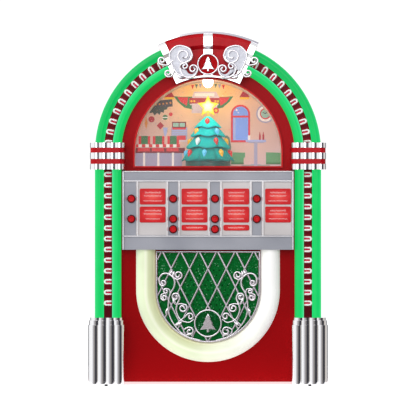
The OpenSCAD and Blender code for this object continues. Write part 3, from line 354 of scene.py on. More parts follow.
def lit_green_diffuser(name, radius, stops, glow, fade):
    """Opal green acrylic tube over LEDs: its colour runs across the section, brighter towards the edges as painted
    sheen over the LEDs' glow, and pulses softly along it.
    """
    f = Finish(name, "#04582A", 0.24, Specular_IOR_Level=0.2, Emission_Strength=glow)
    # partly painted light: across the section the glow is brighter towards the edges, a painted edge sheen
    across = f.span(f.arch_radius(ARCH_Z), radius - TUBE_HALF, radius + TUBE_HALF)
    toned = f.scaled(f.ramp(across, *stops), f.height_in(210, 340, 1.0, fade))
    return f.done(f.mottle(toned, f.grain(16, 1.0), 0.1), f.grain(3), 0.02, "Emission Color")


def lit_cream_diffuser():
    """Opal cream acrylic over white LEDs: whiter outside and to the right; across the lens, painted highlight lines
    near both edges and a greener band of painted shade inside.
    """
    f = Finish("lit_cream_diffuser", "#E8EDC8", 0.3, Specular_IOR_Level=0.1, Emission_Strength=0.14)
    across = f.span(f.arch_radius(U_Z, "MINIMUM"), GRILLE_R, U_OUTER)
    # partly painted light: over the LEDs' glow, bright lines near the inner and outer edges are painted highlights and
    # the darker green band inside is painted shade
    colour = f.ramp(across, (0.0, "#F4F2C8"), (0.07, "#EDEFC0"), (0.14, "#D3DAAA"), (0.36, "#DAE2B8"),
            (0.5, "#F2F8DC"), (0.62, "#E4EECA"), (0.88, "#E6F1D0"), (1.0, "#F2FAE4"))
    side = f.span(f.xyz(f.place)["X"], -20 * MM, 64 * MM)
    whiter = f.mix(side, colour, linear("#FFFFFC"))
    return f.done(f.mottle(whiter, f.grain(26, 1.0), 0.12), f.grain(6), 0.03, *LIT)


def maroon_strip_abs():
    """Glossy maroon ABS between the tubes: painted light puts a bright red reflection of the LEDs in each cell beside
    its ring.
    """
    f = Finish("maroon_strip_abs", "#7A0A18", 0.25, Specular_IOR_Level=0.08)
    split = f.xyz(f.place)
    over = f.calc("SUBTRACT", split["Z"], ARCH_Z * MM)
    angle = f.calc("ARCTAN2", over, f.calc("ABSOLUTE", split["X"]))
    round_phase = f.calc("MULTIPLY", f.calc("SUBTRACT", angle, math.radians(FIRST_ANGLE)),
            1 / math.radians(RING_STEP))
    leg_phase = f.calc("MULTIPLY", f.calc("SUBTRACT", split["Z"], LEG_TOP * MM), per(RING_PITCH))
    in_arch = f.calc("GREATER_THAN", over)
    phase = f.add("Mix", {"Factor": in_arch, "A": leg_phase, "B": round_phase}).outputs["Result"]
    # painted reflection: bright red beside each ring, dark maroon between
    colour = f.ramp(f.calc("FRACT", phase), (0.0, "#A80408"), (0.26, "#960610"), (0.38, "#6C0A18"),
            (0.6, "#580814"), (0.74, "#88060E"), (0.8, "#B4040A"), (1.0, "#A80408"))
    # the painted reflections stop near the foot of the legs, where the strip is plain dark maroon
    painted_light_reach = f.height_in(LEG_END + 9, LEG_END + 14)
    return f.done(f.mix(painted_light_reach, linear("#540814"), colour), f.grain(4), 0.02)


def chrome_plate():
    """Bright chrome plating on ABS: mirror-like, with a breath of haze and a very faint ripple."""
    f = Finish("chrome_plate", "#EDEDEF", 0.07, 1.0)
    return f.done(f.span(f.grain(24, 2.0), 0.0, 1.0, 0.05, 0.15), f.grain(18, 1.0), 0.02, "Roughness")


def silver_with_painted_shade(name, light, dark, rough):
    """Plated silver with painted shade in its hollows: bright on its round backs, grey where the wires meet."""
    f = Finish(name, light, rough, 1.0)
    grain_and_shade_speckle = f.grain(1.8)
    # painted shade: the ambient-occlusion ramp, broken up by the grain, darkens hollows and the joins between wires
    return f.done(f.ramp(f.calc("MULTIPLY", f.hollow(1.0, 4), grain_and_shade_speckle), (0.05, dark), (0.3, light)), grain_and_shade_speckle, 0.03)


def glitter(name, base, glint, flake, spark, shine):
    """Glitter in clear lacquer: each flake lies at its own angle and has its own shade."""
    f = Finish(name, base, 0.34, Coat_Weight=0.2 * shine, Coat_Roughness=0.1, Specular_IOR_Level=0.3 * shine)
    cell = f.flakes(flake)["Color"]
    pick = f.add("SeparateColor", {"Color": cell}).outputs
    f.paint(f.ramp(pick["Red"], (0.0, base), (0.78, base), (0.97, glint), (1.0, spark)))
    f.paint(f.span(pick["Green"], 0.45, 1.0, 0.0, shine), "Metallic")
    lean = f.vector("SUBTRACT", cell, (0.5, 0.5, 0.5))
    tilt = f.add("VectorMath", {0: lean, "Scale": 0.55}, operation="SCALE").outputs[0]
    turned = f.vector("ADD", f.add("NewGeometry").outputs["Normal"], tilt)
    f.paint(f.vector("NORMALIZE", turned), "Normal")
    return f.material


def silver_paint(name, dark, light, metal, rough):
    """Sprayed silver paint: aluminium flake, drawn 0.5 mm so that it shows, and soft clouding."""
    f = Finish(name, light, rough, metal, Specular_IOR_Level=0.4)
    flake = f.flakes(0.5)["Distance"]
    blend = f.calc("MULTIPLY", f.grain(38, 1.0), f.span(flake, -3.0, 4.0))
    return f.done(f.ramp(blend, (0.1, dark), (0.4, light)), flake, 0.01)


def printed_title_card():
    """Gloss-laminated printed card: red at the rim, glowing coral in the middle of each card."""
    f = Finish("printed_title_card", "#DA1820", 0.22, Specular_IOR_Level=0.3)
    away = f.vector("LENGTH", f.add("UVMap", uv_map="card").outputs["UV"])
    colour = f.ramp(away, (0.0, "#F65E52"), (0.45, "#EA3A38"), (0.85, "#D8161E"), (1.0, "#CC1018"))
    return f.done(colour, f.grain(1.0), 0.005)


def worked_metal(name, colour, rough, size):
    """Machined, drawn or plated metal: its lay shows as fine stretched streaks."""
    f = Finish(name, colour, rough, 1.0)
    lay = f.add("Mapping", {"Vector": f.place, "Scale": (1.0, 1.0, 12.0)}).outputs["Vector"]
    streak = f.grain(size, place=lay)
    return f.done(f.span(streak, 0.0, 1.0, rough * 0.7, rough * 1.5), streak, 0.01, "Roughness")


def solder_mask():
    """Green solder mask over copper: satin, with tracks as faint lighter lines."""
    f = Finish("solder_mask", "#0C5A2A", 0.35)
    tracks = f.add("TexBrick", {"Vector": f.place, "Scale": per(4), "Color1": linear("#0B5226"),
            "Color2": linear("#0E6430"), "Mortar": linear("#2A8A4C"), "Mortar Size": 0.03})
    f.paint(tracks.outputs["Color"])
    return f.material


def perforated_glitter_sheet():
    """Green glitter film: dense flakes with paler sparks."""
    return glitter("perforated_glitter_sheet", "#046024", "#148040", 0.8, "#8CC8A0", 0.1)


# ---- mesh helpers

def place_mesh(name, mesh, body="root", slot=None, stands_for=()):
    """Puts a mesh in the scene as a named piece that rides on a body."""
    piece = bpy.data.objects.new(name, mesh)
    bpy.context.scene.collection.objects.link(piece)
    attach(piece, body)
    if stands_for:
        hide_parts(*stands_for)


def new_mesh(name, points, faces, material, smooth=True):
    """A mesh from points in millimetres."""
    mesh = bpy.data.meshes.new(name)
    mesh.from_pydata([[c * MM for c in p] for p in points], [], faces)
    mesh.validate()
    mesh.polygons.foreach_set("use_smooth", [smooth] * len(mesh.polygons))
    mesh.update()
    mesh.materials.append(material)
    return mesh


def tidy_normals(mesh):
    """Makes every face look outwards."""
    work = bmesh.new()
    work.from_mesh(mesh)
    bmesh.ops.recalc_face_normals(work, faces=work.faces)
    work.to_mesh(mesh)
    work.free()
    return mesh


def solid(name, shape, material, smooth=True, **where):
    """A piece from the points and faces of a closed shape."""
    place_mesh(name, tidy_normals(new_mesh(name, *shape, material, smooth)), **where)


def drawn(name, lines, closed, middle_y, material, where, **settings):
    """A piece from lines of (x, z, thickness) in millimetres, drawn as a curve that faces the front."""
    curve = bpy.data.curves.new(name, "CURVE")
    for key, value in settings.items():
        setattr(curve, key, value)
    for line in lines:
        spline = curve.splines.new("POLY")
        spline.points.add(len(line) - 1)
        for point, (x, z, share) in zip(spline.points, line):
            point.co = (x * MM, z * MM, 0, 1)
            point.radius = share
        spline.use_cyclic_u = closed
    curve.materials.append(material)
    sketch = bpy.data.objects.new(name, curve)
    bpy.context.scene.collection.objects.link(sketch)
    sketch.matrix_world = Matrix.Translation((0, middle_y * MM, 0)) @ Matrix.Rotation(math.pi / 2, 4, "X")
    bpy.context.view_layer.update()
    graph = bpy.context.evaluated_depsgraph_get()
    mesh = bpy.data.meshes.new_from_object(sketch.evaluated_get(graph))
    mesh.transform(sketch.matrix_world)
    mesh.name = name
    bpy.data.objects.remove(sketch)
    bpy.data.curves.remove(curve)
    place_mesh(name, mesh, **where)


def flat_shape(name, outlines, front, thick, edge, material, **where):
    """Rounded flat plates from closed outlines in millimetres, with softened edges, facing the front."""
    drawn(name, [[(x, z, 1.0) for x, z in outline] for outline in outlines], True, front + thick / 2,
            material, where, dimensions="2D", fill_mode="BOTH", extrude=(thick / 2 - edge) * MM,
            bevel_depth=edge * MM, offset=-edge * MM, bevel_resolution=2)


def wires(name, strands, front, radius, material, deep=0.0, closed=False, sides=3, **where):
    """Round wires seen from the front: each strand is a list of (x, z, thickness) in millimetres."""
    drawn(name, strands, closed, front + radius + deep / 2, material, where, dimensions="3D",
            twist_mode="Z_UP", fill_mode="FULL", bevel_depth=radius * MM, bevel_resolution=sides,
            extrude=deep / 2 * MM, use_fill_caps=True)


def rings_to_faces(rows, count):
    """Quads between rings of the same number of points."""
    return [(first + i, first + (i + 1) % count, first + count + (i + 1) % count, first + count + i)
            for first in range(0, (rows - 1) * count, count) for i in range(count)]


def lathe(profile, origin, axis, steps=32, ring=False):
    """Points and faces of a turned shape: profile is (radius, distance along the axis), closed or a ring."""
    along = Vector(axis).normalized()
    side = along.orthogonal().normalized()
    other = along.cross(side)
    turns = [2 * math.pi * k / steps for k in range(steps)]
    points = [Vector(origin) + along * reach + (side * math.cos(a) + other * math.sin(a)) * radius
            for radius, reach in profile for a in turns]
    faces = rings_to_faces(len(profile), steps)
    last = (len(profile) - 1) * steps
    if ring:
        faces += [(last + k, last + (k + 1) % steps, (k + 1) % steps, k) for k in range(steps)]
    else:
        faces += [tuple(range(steps))[::-1], tuple(last + k for k in range(steps))]
    return points, faces


def gather(parts):
    """Joins several lists of points and faces into one."""
    points, faces = [], []
    for some_points, some_faces in parts:
        faces += [tuple(i + len(points) for i in face) for face in some_faces]
        points += some_points
    return points, faces


def bar(x, z, w, h, r, front, thick, edge):
    """Points and faces of a flat bar or card with round corners and an eased front edge."""
    rows = [(0.0, thick), (0.0, edge), (edge, 0.0)]
    points = [(px, front + sink, pz) for inset, sink in rows
            for px, pz in rounded(x, z, w - 2 * inset, h - 2 * inset, max(r - inset, 0.02))]
    count = len(points) // len(rows)
    faces = rings_to_faces(len(rows), count)
    faces += [tuple(range(count)), tuple(2 * count + k for k in range(count))]
    return points, faces


# ---- outlines

def circle(x, z, r, steps=48, start=0.0, sweep=360.0):
    """Points round a circle or an arc, in degrees from +X."""
    closed = abs(sweep) >= 360
    count = steps if closed else steps + 1
    return [(x + r * math.cos(math.radians(start + sweep * k / steps)),
            z + r * math.sin(math.radians(start + sweep * k / steps))) for k in range(count)]


def rounded(x, z, w, h, r, steps=6):
    """A rectangle with round corners about its centre."""
    outline = []
    for cx, cz, start in ((1, 1, 0), (-1, 1, 90), (-1, -1, 180), (1, -1, 270)):
        outline += circle(x + cx * (w / 2 - r), z + cz * (h / 2 - r), r, steps, start, 90)
    return outline


def mirrored(points):
    """The same points on the other side of the middle line."""
    return [(-p[0],) + tuple(p[1:]) for p in points]


def pairs(lines, lift):
    """Lines raised by a height, each followed by its mirror image."""
    raised = [[(p[0], p[1] + lift) + tuple(p[2:]) for p in line] for line in lines]
    return [half for line in raised for half in (line, mirrored(line))]


def smooth(points, steps=8):
    """A smooth line through the points."""
    line = []
    for i in range(len(points) - 1):
        p0, p1, p2 = points[max(i - 1, 0)], points[i], points[i + 1]
        p3 = points[min(i + 2, len(points) - 1)]
        for k in range(steps):
            s = k / steps
            line.append(tuple((2 * b + (c - a) * s + (2 * a - 5 * b + 4 * c - d) * s * s
                    + (3 * b - a - 3 * c + d) * s ** 3) / 2 for a, b, c, d in zip(p0, p1, p2, p3)))
    return line + [tuple(points[-1])]


def curl(start, centre, turns, steps=34, shrink=0.74):
    """A spiral from a start point round a centre, winding inwards."""
    (x, z), line = centre, []
    reach, angle = math.hypot(start[0] - x, start[1] - z), math.atan2(start[1] - z, start[0] - x)
    for k in range(1, steps + 1):
        arm, a = reach * (1 - shrink * k / steps), angle + 2 * math.pi * turns * k / steps
        line.append((x + arm * math.cos(a), z + arm * math.sin(a)))
    return line


def scroll(points, centre, turns, root, bead):
    """A stem that swells from its root and ends in a curl with a bead."""
    line = smooth(points) + curl(points[-1], centre, turns)
    last = len(line) - 1
    return [(x, z, 1 + (bead - 1) * (1 - (last - i) / 4) if last - i < 4
            else root + (1 - root) * min(1.0, 2.5 * i / last)) for i, (x, z) in enumerate(line)]


def leaf(points, widest):
    """A leaf-shaped strand, pointed at both ends."""
    line = smooth(points)
    last = len(line) - 1
    return [(x, z, max(0.12, widest * math.sin(math.pi * (0.06 + 0.9 * i / last)) ** 1.2))
            for i, (x, z) in enumerate(line)]


def fir_outline(height, x, z):
    """A fir tree emblem in three tiers on a short trunk, its foot at x, z."""
    half = [(0.0, 1.0), (0.17, 0.69), (0.11, 0.71), (0.28, 0.42), (0.2, 0.45), (0.42, 0.13), (0.06, 0.17),
            (0.06, 0.0)]
    side = [(x + height * px, z + height * pz) for px, pz in half]
    return side + [(2 * x - px, pz) for px, pz in side[:0:-1]]


# ---- tubes: the horseshoe rings

RING_LENGTH = 7.8
RING_WIDTH = 5.2
RING_SECTION = [(-1, 0.0), (-0.82, 0.6), (-0.4, 0.95), (0, 1.0), (0.4, 0.95), (0.82, 0.6), (1, 0.0)]


def ring_path():
    """Middle line of a horseshoe lying along +X, with the half width of its band at each point."""
    leg = RING_WIDTH / 2 - 0.85
    bow = RING_LENGTH / 2 - RING_WIDTH / 2
    path = [(-RING_LENGTH / 2 + 0.2 + (bow + RING_LENGTH / 2) * k / 5, leg,
            0.72 + 0.04 * k) for k in range(5)]
    for k in range(9):
        a = math.pi / 2 - math.pi * k / 8
        path.append((bow + leg * math.cos(a), leg * math.sin(a), 0.9 + 0.25 * math.cos(a)))
    path += [(x, -z, half * 1.25) for x, z, half in path[4::-1]]
    return path


def horseshoe(x, z, turn):
    """Points and faces of one raised ring, turned by this angle about the depth axis."""
    path = ring_path()
    across = len(RING_SECTION)
    height = STRIP_Y - RING_Y
    points = []
    for (px, pz, half), before, after in zip(path, path[:1] + path, path[1:] + path[-1:]):
        nx, nz = after[0] - before[0], after[1] - before[1]
        length = math.hypot(nx, nz)
        for share, rise in RING_SECTION:
            lx, lz = px - nz / length * half * share, pz + nx / length * half * share
            points.append((x + lx * math.cos(turn) - lz * math.sin(turn),
                    STRIP_Y + 0.1 - (height + 0.1) * rise, z + lx * math.sin(turn) + lz * math.cos(turn)))
    ends = [tuple(first + k for k in range(across)) for first in (0, (len(path) - 1) * across)]
    return points, rings_to_faces(len(path), across) + ends


def ring_spots():
    """Place and angle of each ring on the right side: down the leg, then round the arch."""
    legs = int((LEG_TOP - LEG_END - RING_WIDTH) / RING_PITCH)
    spots = [(STRIP_R, LEG_TOP - k * RING_PITCH, 0.0) for k in range(legs + 1)]
    turns = int((90 - CROWN_HALF - FIRST_ANGLE) / RING_STEP)
    for k in range(turns + 1):
        a = math.radians(FIRST_ANGLE + k * RING_STEP)
        spots.append((STRIP_R * math.cos(a), ARCH_Z + STRIP_R * math.sin(a), a))
    return spots


def strip_ring_pieces():
    """White rings on both sides of the arch, each a raised horseshoe open to the inside, with a pink slot of painted
    light inside each.
    """
    parts, glow = [], []
    for x, z, turn in ring_spots():
        parts += [horseshoe(x, z, turn), horseshoe(-x, z, math.pi - turn)]
        c, s = math.cos(turn), math.sin(turn)
        slot = [(x + u * c - w * s, z + u * s + w * c)
                for u, w in ((-3.63, -0.62), (0.78, -0.62), (1.2, 0), (0.78, 0.62), (-3.63, 0.62))]
        glow += [slot, mirrored(slot)]
    solid("horseshoe_rings", gather(parts), white_abs("white_ring_abs", "#FCFBFA", 0.2),
            slot="ring_white", stands_for=["strip_rings"])
    # painted light: a pink slot inside each ring for the LED light reflected there
    flat_shape("ring_slot_glow", glow, STRIP_Y - 0.25, 0.3, 0.05,
            red_lacquer("painted_glow_red", "#C01030", "#E82858"), slot="strip_maroon")


# ---- crown: scrolls and medallion

CROWN_BODY = [(-18, -13), (-30, -10), (-37, 2), (-38, 10), (-33, 16.3), (-26.5, 17.8), (-18.5, 14.8),
        (-17, 9), (-20.5, 3), (-25, 1), (-27, -4), (-24, -9), (-18, -13)]
CROWN_HEEL = [(-26, -5), (-25.5, -10), (-20, -13.4), (-13.8, -11.6), (-11.4, -7), (-15, -10), (-19, -9.5),
        (-22, -6), (-26, -5)]
CROWN_CURLS = [
    (CROWN_BODY[:7] + [(-15.6, 8.2)], (-23.9, 8.2), -1.35),
    ([(-27, -4), (-26, -10), (-20, -13.8), (-13.5, -12), (-10.6, -7)], (-14.8, -5.2), 1.3),
    ([(-26, -9), (-28.2, -5), (-27, -1), (-23.2, 0.8)], (-23.2, -2.4), -1.1),
    ([(-35, 3), (-40, -1.2), (-46, -0.8)], (-45.7, 3.2), -1.3),
    ([(-33, -5), (-36, -12), (-40.5, -12.6)], (-39.4, -9.3), -1.2),
]
CROWN_LEAVES = [
    [(-17, 9), (-17.8, 4), (-21.5, 1.5), (-25.5, 0.8)],
    [(-30, -10.5), (-28, -13.2), (-23, -14)],
]


def crown_pieces(silver):
    """Silver scrolls either side of the medallion, their fields filled with white glitter."""
    wire_y = low("crown_scrolls").y + 0.8
    strands = pairs([scroll(*curl_line, 0.75, 1.5) for curl_line in CROWN_CURLS], MEDAL_Z)
    leaves = pairs([leaf(points, 1.5) for points in CROWN_LEAVES], MEDAL_Z)
    fields = pairs([smooth(CROWN_BODY, 10)[:-1], smooth(CROWN_HEEL)[:-1]], MEDAL_Z)
    depth = high("crown_scrolls").y - low("crown_scrolls").y
    wires("crown_scrolls_wire", strands, wire_y, 0.95, silver, deep=1.2, slot="scroll_silver",
            stands_for=["crown_scrolls"])
    wires("crown_scroll_leaves", leaves, wire_y + 0.2, 0.95, silver, slot="scroll_silver")
    flat_shape("crown_scroll_fields", fields, wire_y + 1.1, depth - 1.6, 0.9, glitter("white_glitter",
            "#DFE1EA", "#F4F6FC", 0.55, "#FFFFFF", 0.5), slot="scroll_silver")


def medallion_pieces(silver):
    """Round badge with a round wire rim, a red glitter field and a raised fir tree."""
    rim = [(x, z + MEDAL_Z, 1.0) for x, z in circle(0, 0, MEDAL_R - 0.8, 64)]
    wires("medallion_rim", [rim], MEDAL_Y, 0.8, silver, deep=1.2, closed=True, slot="scroll_silver",
            stands_for=["crown_medallion"])
    flat_shape("medallion_field", [circle(0, MEDAL_Z, MEDAL_R - 0.7, 64)], MEDAL_Y + 1.7, 1.5, 0.2,
            glitter("red_glitter", "#B0060E", "#C81820", 0.6, "#E05058", 0.12), slot="band_red")
    flat_shape("medallion_tree", [fir_outline(15, 0, MEDAL_Z - 7.2)], MEDAL_Y + 0.7, 1.2, 0.45, silver,
            slot="scroll_silver")


# ---- grille: lattice, scrolls and badge

LATTICE_PITCH = 18.35
LATTICE_Z = U_Z + 21.4
GRILLE_RIM = 2.0
GRILLE_CURLS = [
    ([(-8, -49.8), (-22.9, -45.2), (-33.2, -34.9), (-38.6, -24.5), (-39.6, -14.2), (-37.8, -3.9),
            (-33.6, 4.2),
      (-34, 11.5), (-39.2, 16.3), (-44.8, 16.5), (-48.3, 12.5), (-48.4, 8)], (-44.8, 7.6), 1.25),
    ([(-14.3, -29.1), (-19.5, -32), (-27.5, -29.1), (-31.5, -21.1), (-30.9, -14.2), (-28.4, -8.5),
            (-29.6, -4)],
     (-32.5, -6.7), 1.2),
    ([(-39.2, 16.3), (-34.5, 12.8), (-30.5, 10.8), (-26.8, 12.4)], (-29.8, 15.1), 1.2),
    ([(-37.8, -3.9), (-38.6, 0.8), (-42.5, 1.6)], (-41.9, -1), 1.1),
    ([(-41, -2.6), (-46.5, -4.4), (-46.8, -8)], (-43.9, -7.2), 1.2),
    ([(-30.9, -14.2), (-26.8, -13.4), (-22, -14.6)], (-25.2, -17.6), -1.2),
    ([(-33.2, -34.9), (-24.5, -27.6), (-21, -24.6)], (-17.7, -26.3), -1.1),
    ([(-22.9, -45.2), (-24, -39.5), (-19.2, -36.8)], (-18.4, -41), -1.1),
]
GRILLE_LEAVES = [
    [(-39.5, 16), (-37, 17.6), (-35.6, 20.6)],
    [(-33.8, 11.5), (-34.6, 16), (-33.4, 19.4)],
    [(-35.5, -6), (-34, -11), (-32, -14.6)],
    [(-39.4, -17), (-41.4, -21), (-41, -25)],
    [(-33.2, -34.9), (-29, -33.5), (-25.5, -31)],
    [(-22.9, -45.2), (-17.5, -43.6), (-14.6, -46.2)],
]


def inside_grille(x, z, inset):
    """Whether a point lies within the grille's outline, drawn in by the inset."""
    r = GRILLE_R - inset
    if z > U_Z:
        return abs(x) <= r and z <= GRILLE_TOP - inset
    return math.hypot(x, z - U_Z) <= r


def lattice_strands():
    """Diamond bars clipped to the inside of the rim."""
    strands = []
    lean = math.atan(2)
    reach = 2.6 * GRILLE_R
    samples = 700
    for k in range(-6, 7):
        for side in (1, -1):
            line = [(k * LATTICE_PITCH + side * math.cos(lean) * s, LATTICE_Z + math.sin(lean) * s)
                    for s in (reach * (2 * i / samples - 1) for i in range(samples + 1))]
            kept = [p for p in line if inside_grille(p[0], p[1], GRILLE_RIM - 0.4)]
            if len(kept) > 4:
                strands.append([(kept[0][0], kept[0][1], 1.0), (kept[-1][0], kept[-1][1], 1.0)])
    return strands


def grille_pieces(silver, bright):
    """Rim, lattice, scroll wires with leaves, and the round fir tree badge."""
    rim_y, r, top = low("grille_frame").y, GRILLE_R - GRILLE_RIM / 2, GRILLE_TOP - GRILLE_RIM / 2
    rim = [(x, z, 1.0) for x, z in [(r, top), (-r, top)] + circle(0, U_Z, r, 72, 180, 180)]
    wires("grille_rim", [rim], rim_y, GRILLE_RIM / 2, silver, deep=1.2, closed=True, slot="grille_silver",
            stands_for=["grille_frame"])
    wires("grille_lattice", lattice_strands(), rim_y + 0.8, 0.98, silver, slot="grille_silver")
    strands = pairs([scroll(*curl_line, 0.6, 1.7) for curl_line in GRILLE_CURLS], U_Z)
    leaves = pairs([leaf(points, 1.6) for points in GRILLE_LEAVES], U_Z)
    wire_y = low("grille_ornament").y
    wires("grille_scrolls", strands, wire_y, 0.92, bright, slot="grille_silver",
            stands_for=["grille_ornament"])
    wires("grille_leaves", leaves, wire_y + 0.1, 0.9, bright, slot="grille_silver")
    badge_z, badge_r = U_Z - 32.9, 13.2
    rim = [(x, z, 1.0) for x, z in circle(0, badge_z, badge_r, 64)]
    wires("badge_rim", [rim], wire_y, 0.8, bright, closed=True, slot="grille_silver")
    flat_shape("badge_field", [circle(0, badge_z, badge_r, 64)], wire_y + 1.0, 0.9, 0.1,
            glitter("badge_glitter", "#044A1C", "#127038", 0.8, "#7CB890", 0.1), slot="grille_green")
    flat_shape("badge_tree", [fir_outline(18.5, 0, badge_z - 8.8)], wire_y + 0.1, 1.0, 0.4, bright,
            slot="grille_silver")


# ---- stage: fir tree, star and bulbs

# Tiers from the bottom: drapes round the tree, hem height over the foot, hem radius, top height, top radius
TIERS = [(8, 1.6, 27.0, 15.6, 15.4), (6, 14.6, 23.2, 28.0, 10.8), (6, 26.6, 18.4, 37.0, 8.4),
        (5, 35.4, 14.0, 46.3, 2.2)]
HEM_DIP = 1.7
FOLD_DEPTH = 0.16


def drape(count, hem_z, hem_r, top_z, top_r):
    """One tier of the tree: a flared skirt pleated into drapes, with a thin rolled hem."""
    around, rows = 144, 10
    points = []
    for row in range(rows + 3):
        s = min(row / rows, 1.0)
        under = max(0, row - rows)
        for k in range(around):
            a = 2 * math.pi * k / around
            wave = abs(math.cos(count * a / 2))
            r = top_r + (hem_r - top_r) * s ** 0.86
            r *= 1 - FOLD_DEPTH * s * (1 - wave) ** 3
            z = top_z + (hem_z - top_z) * s - HEM_DIP * s ** 5 * (wave ** 2 - 0.4)
            if under:
                r -= (0.5, 2.6)[under - 1]
                z += (-0.35, 1.0)[under - 1]
            points.append((r * math.sin(a), TREE_AXIS_Y - r * math.cos(a), TREE_Z + z))
    return points, rings_to_faces(rows + 3, around)


def tree_core():
    """Inner cone that closes the tree behind its drapes."""
    profile = [(22.5, 0.0), (24.0, 2.4), (14.5, 15.5), (19.5, 15.6), (10.0, 28.0), (15.0, 27.8), (7.5, 36.4),
            (11.0, 36.6), (2.4, 46.2), (0.4, 46.6)]
    return lathe(profile, (0, TREE_AXIS_Y, TREE_Z), (0, 0, 1), 72)


def fir_tree_piece():
    """The pearl green tree in four draped tiers."""
    parts = [drape(*tier) for tier in TIERS] + [tree_core()]
    solid("draped_tree", gather(parts), pearl_green_paint(), body="tree", slot="tree_green",
            stands_for=["tree_body"])


def star_pieces():
    """Lit star: a puffed body with raised ridges inside a brighter yellow rim."""
    centre = (0, TREE_AXIS_Y, high("tree_star").z - 11.8)
    where = {"body": "tree", "slot": "star_yellow"}
    tips = [(r * math.sin(math.pi * k / 5), r * math.cos(math.pi * k / 5))
            for k, r in enumerate((11.2, 5.0) * 5)]
    points = [(0, TREE_AXIS_Y - 2.6, centre[2]), (0, TREE_AXIS_Y + 2.6, centre[2])]
    points += [(x, TREE_AXIS_Y, centre[2] + z) for x, z in tips]
    faces = [(side, 2 + k, 2 + (k + 1) % 10) for k in range(10) for side in (0, 1)]
    solid("star_body", (points, faces), lit_plastic("lit_star_core", "#FFFFE8", "#FFE84A", 0.95, centre, 8.0),
            smooth=False, stands_for=["tree_star"], **where)
    wires("star_rim", [[(0.97 * x, centre[2] + 0.97 * z, 1.0) for x, z in tips]], TREE_AXIS_Y - 1.6, 0.75,
            lit_plastic("lit_star_rim", "#FFE440", "#FFD818", 0.9, centre, 11.0), closed=True, **where)
    stem_profile = [(1.6, 0), (1.5, 1.5), (1.2, 3.5), (1.2, centre[2] - TREE_Z - 50)]
    stem = lathe(stem_profile, (0, TREE_AXIS_Y, TREE_Z + 45.6), (0, 0, 1), 20)
    solid("star_stem", stem, lit_plastic("lit_star_stem", "#FFE880", "#E8D040", 0.7, centre, 12.0), **where)


# Rows of bulbs: height over the tree's foot, distance from its axis, angle of the first, step, colours in turn
BULB_ROWS = [
    (8.5, 22.6, -54, 45, "red blue yellow red clear yellow red blue"),
    (20.5, 18.5, -34, 60, "clear red yellow blue red yellow"),
    (30.4, 14.6, -52, 90, "yellow blue red clear"),
    (40.6, 8.9, -4, 180, "red yellow"),
]
# each colour: its tint and the strength of the bulbs' painted glow
BULB_COLOURS = {"red": ("#E0241C", 0.25), "yellow": ("#F2B418", 0.3), "blue": ("#58C8F0", 0.35),
        "clear": ("#EDF6F4", 0.25)}
BULB_PROFILE = [(0.3, -4.4), (0.8, -3.6), (1.5, -2.2), (2.2, -0.6), (2.55, 0.9), (2.3, 2.1), (1.6, 2.9),
        (1.1, 3.1), (1.1, 3.7), (0.7, 3.9)]


def bulb_pieces():
    """Teardrop bulbs that lie on the drapes with their tips down, in four colours."""
    for colour, (tint, glow) in BULB_COLOURS.items():
        parts = []
        for height, reach, first, step, row in BULB_ROWS:
            for k in [k for k, own in enumerate(row.split()) if own == colour]:
                a = math.radians(first + step * k)
                out = Vector((math.sin(a), -math.cos(a), 0))
                spot = Vector((0, TREE_AXIS_Y, TREE_Z + height)) + out * (reach + 0.3)
                parts.append(lathe(BULB_PROFILE, spot, Vector((0, 0, 1)) - out * 0.35, 20))
        solid("bulbs_" + colour, gather(parts), tinted_acrylic("acrylic_" + colour, tint, glow),
                body="tree", slot="bulb_mix", stands_for=["tree_bulbs"] if colour == "red" else ())


# ---- stage: the printed room

class Print:
    """Flat printed shapes sorted by ink, each a thin layer over the one before it."""

    def __init__(self):
        self.layers = {}
        self.count = 0

    def shape(self, ink, outline):
        """One closed shape; x is from the middle and z from the centre of the arch, in millimetres."""
        self.count += 1
        self.layers.setdefault(ink, []).append((self.count, outline))

    def box(self, ink, x0, x1, z0, z1):
        """A rectangle."""
        self.shape(ink, [(x0, z0), (x1, z0), (x1, z1), (x0, z1)])

    def boxes(self, *boxes):
        """Several rectangles in order."""
        for box in boxes:
            self.box(*box)

    def build(self):
        """Makes one piece for each ink."""
        for ink, shapes in self.layers.items():
            parts = []
            for order, outline in shapes:
                n, y = len(outline), CARD_Y - 0.04 - 0.006 * order
                points = [(x, depth, z + ARCH_Z) for depth in (y, CARD_Y) for x, z in outline]
                parts.append((points, rings_to_faces(2, n) + [tuple(range(n)), tuple(range(n, 2 * n))]))
            solid("print_" + ink, gather(parts), print_ink("ink_" + ink, INK_COLOURS[ink]),
                    smooth=False, slot="printed_card")


def print_counter(room):
    """Counter with three stools on the left of the room."""
    room.boxes(("lilac", -76, -27, -11.5, 4.5), ("dark_red", -76, -24, 2.0, 7.5),
            ("lilac_pale", -31, -22, 13.8, 15.6))
    for k in range(13):
        room.box("white" if k % 2 else "red", -76 + 3.6 * k, -72.4 + 3.6 * k, 8.0, 11.2)
    for x in (-66.2, -51.4, -36.2):
        room.boxes(("red", x - 6.0, x + 6.0, 11.2, 19.6), ("green", x - 3.4, x + 3.6, 11.2, 19.8),
                ("red", x - 7.0, x + 5.6, 3.4, 7.2), ("dark_red", x - 6.6, x + 5.2, 2.4, 3.8),
                ("white", x - 1.4, x + 0.8, -11.5, 2.4))


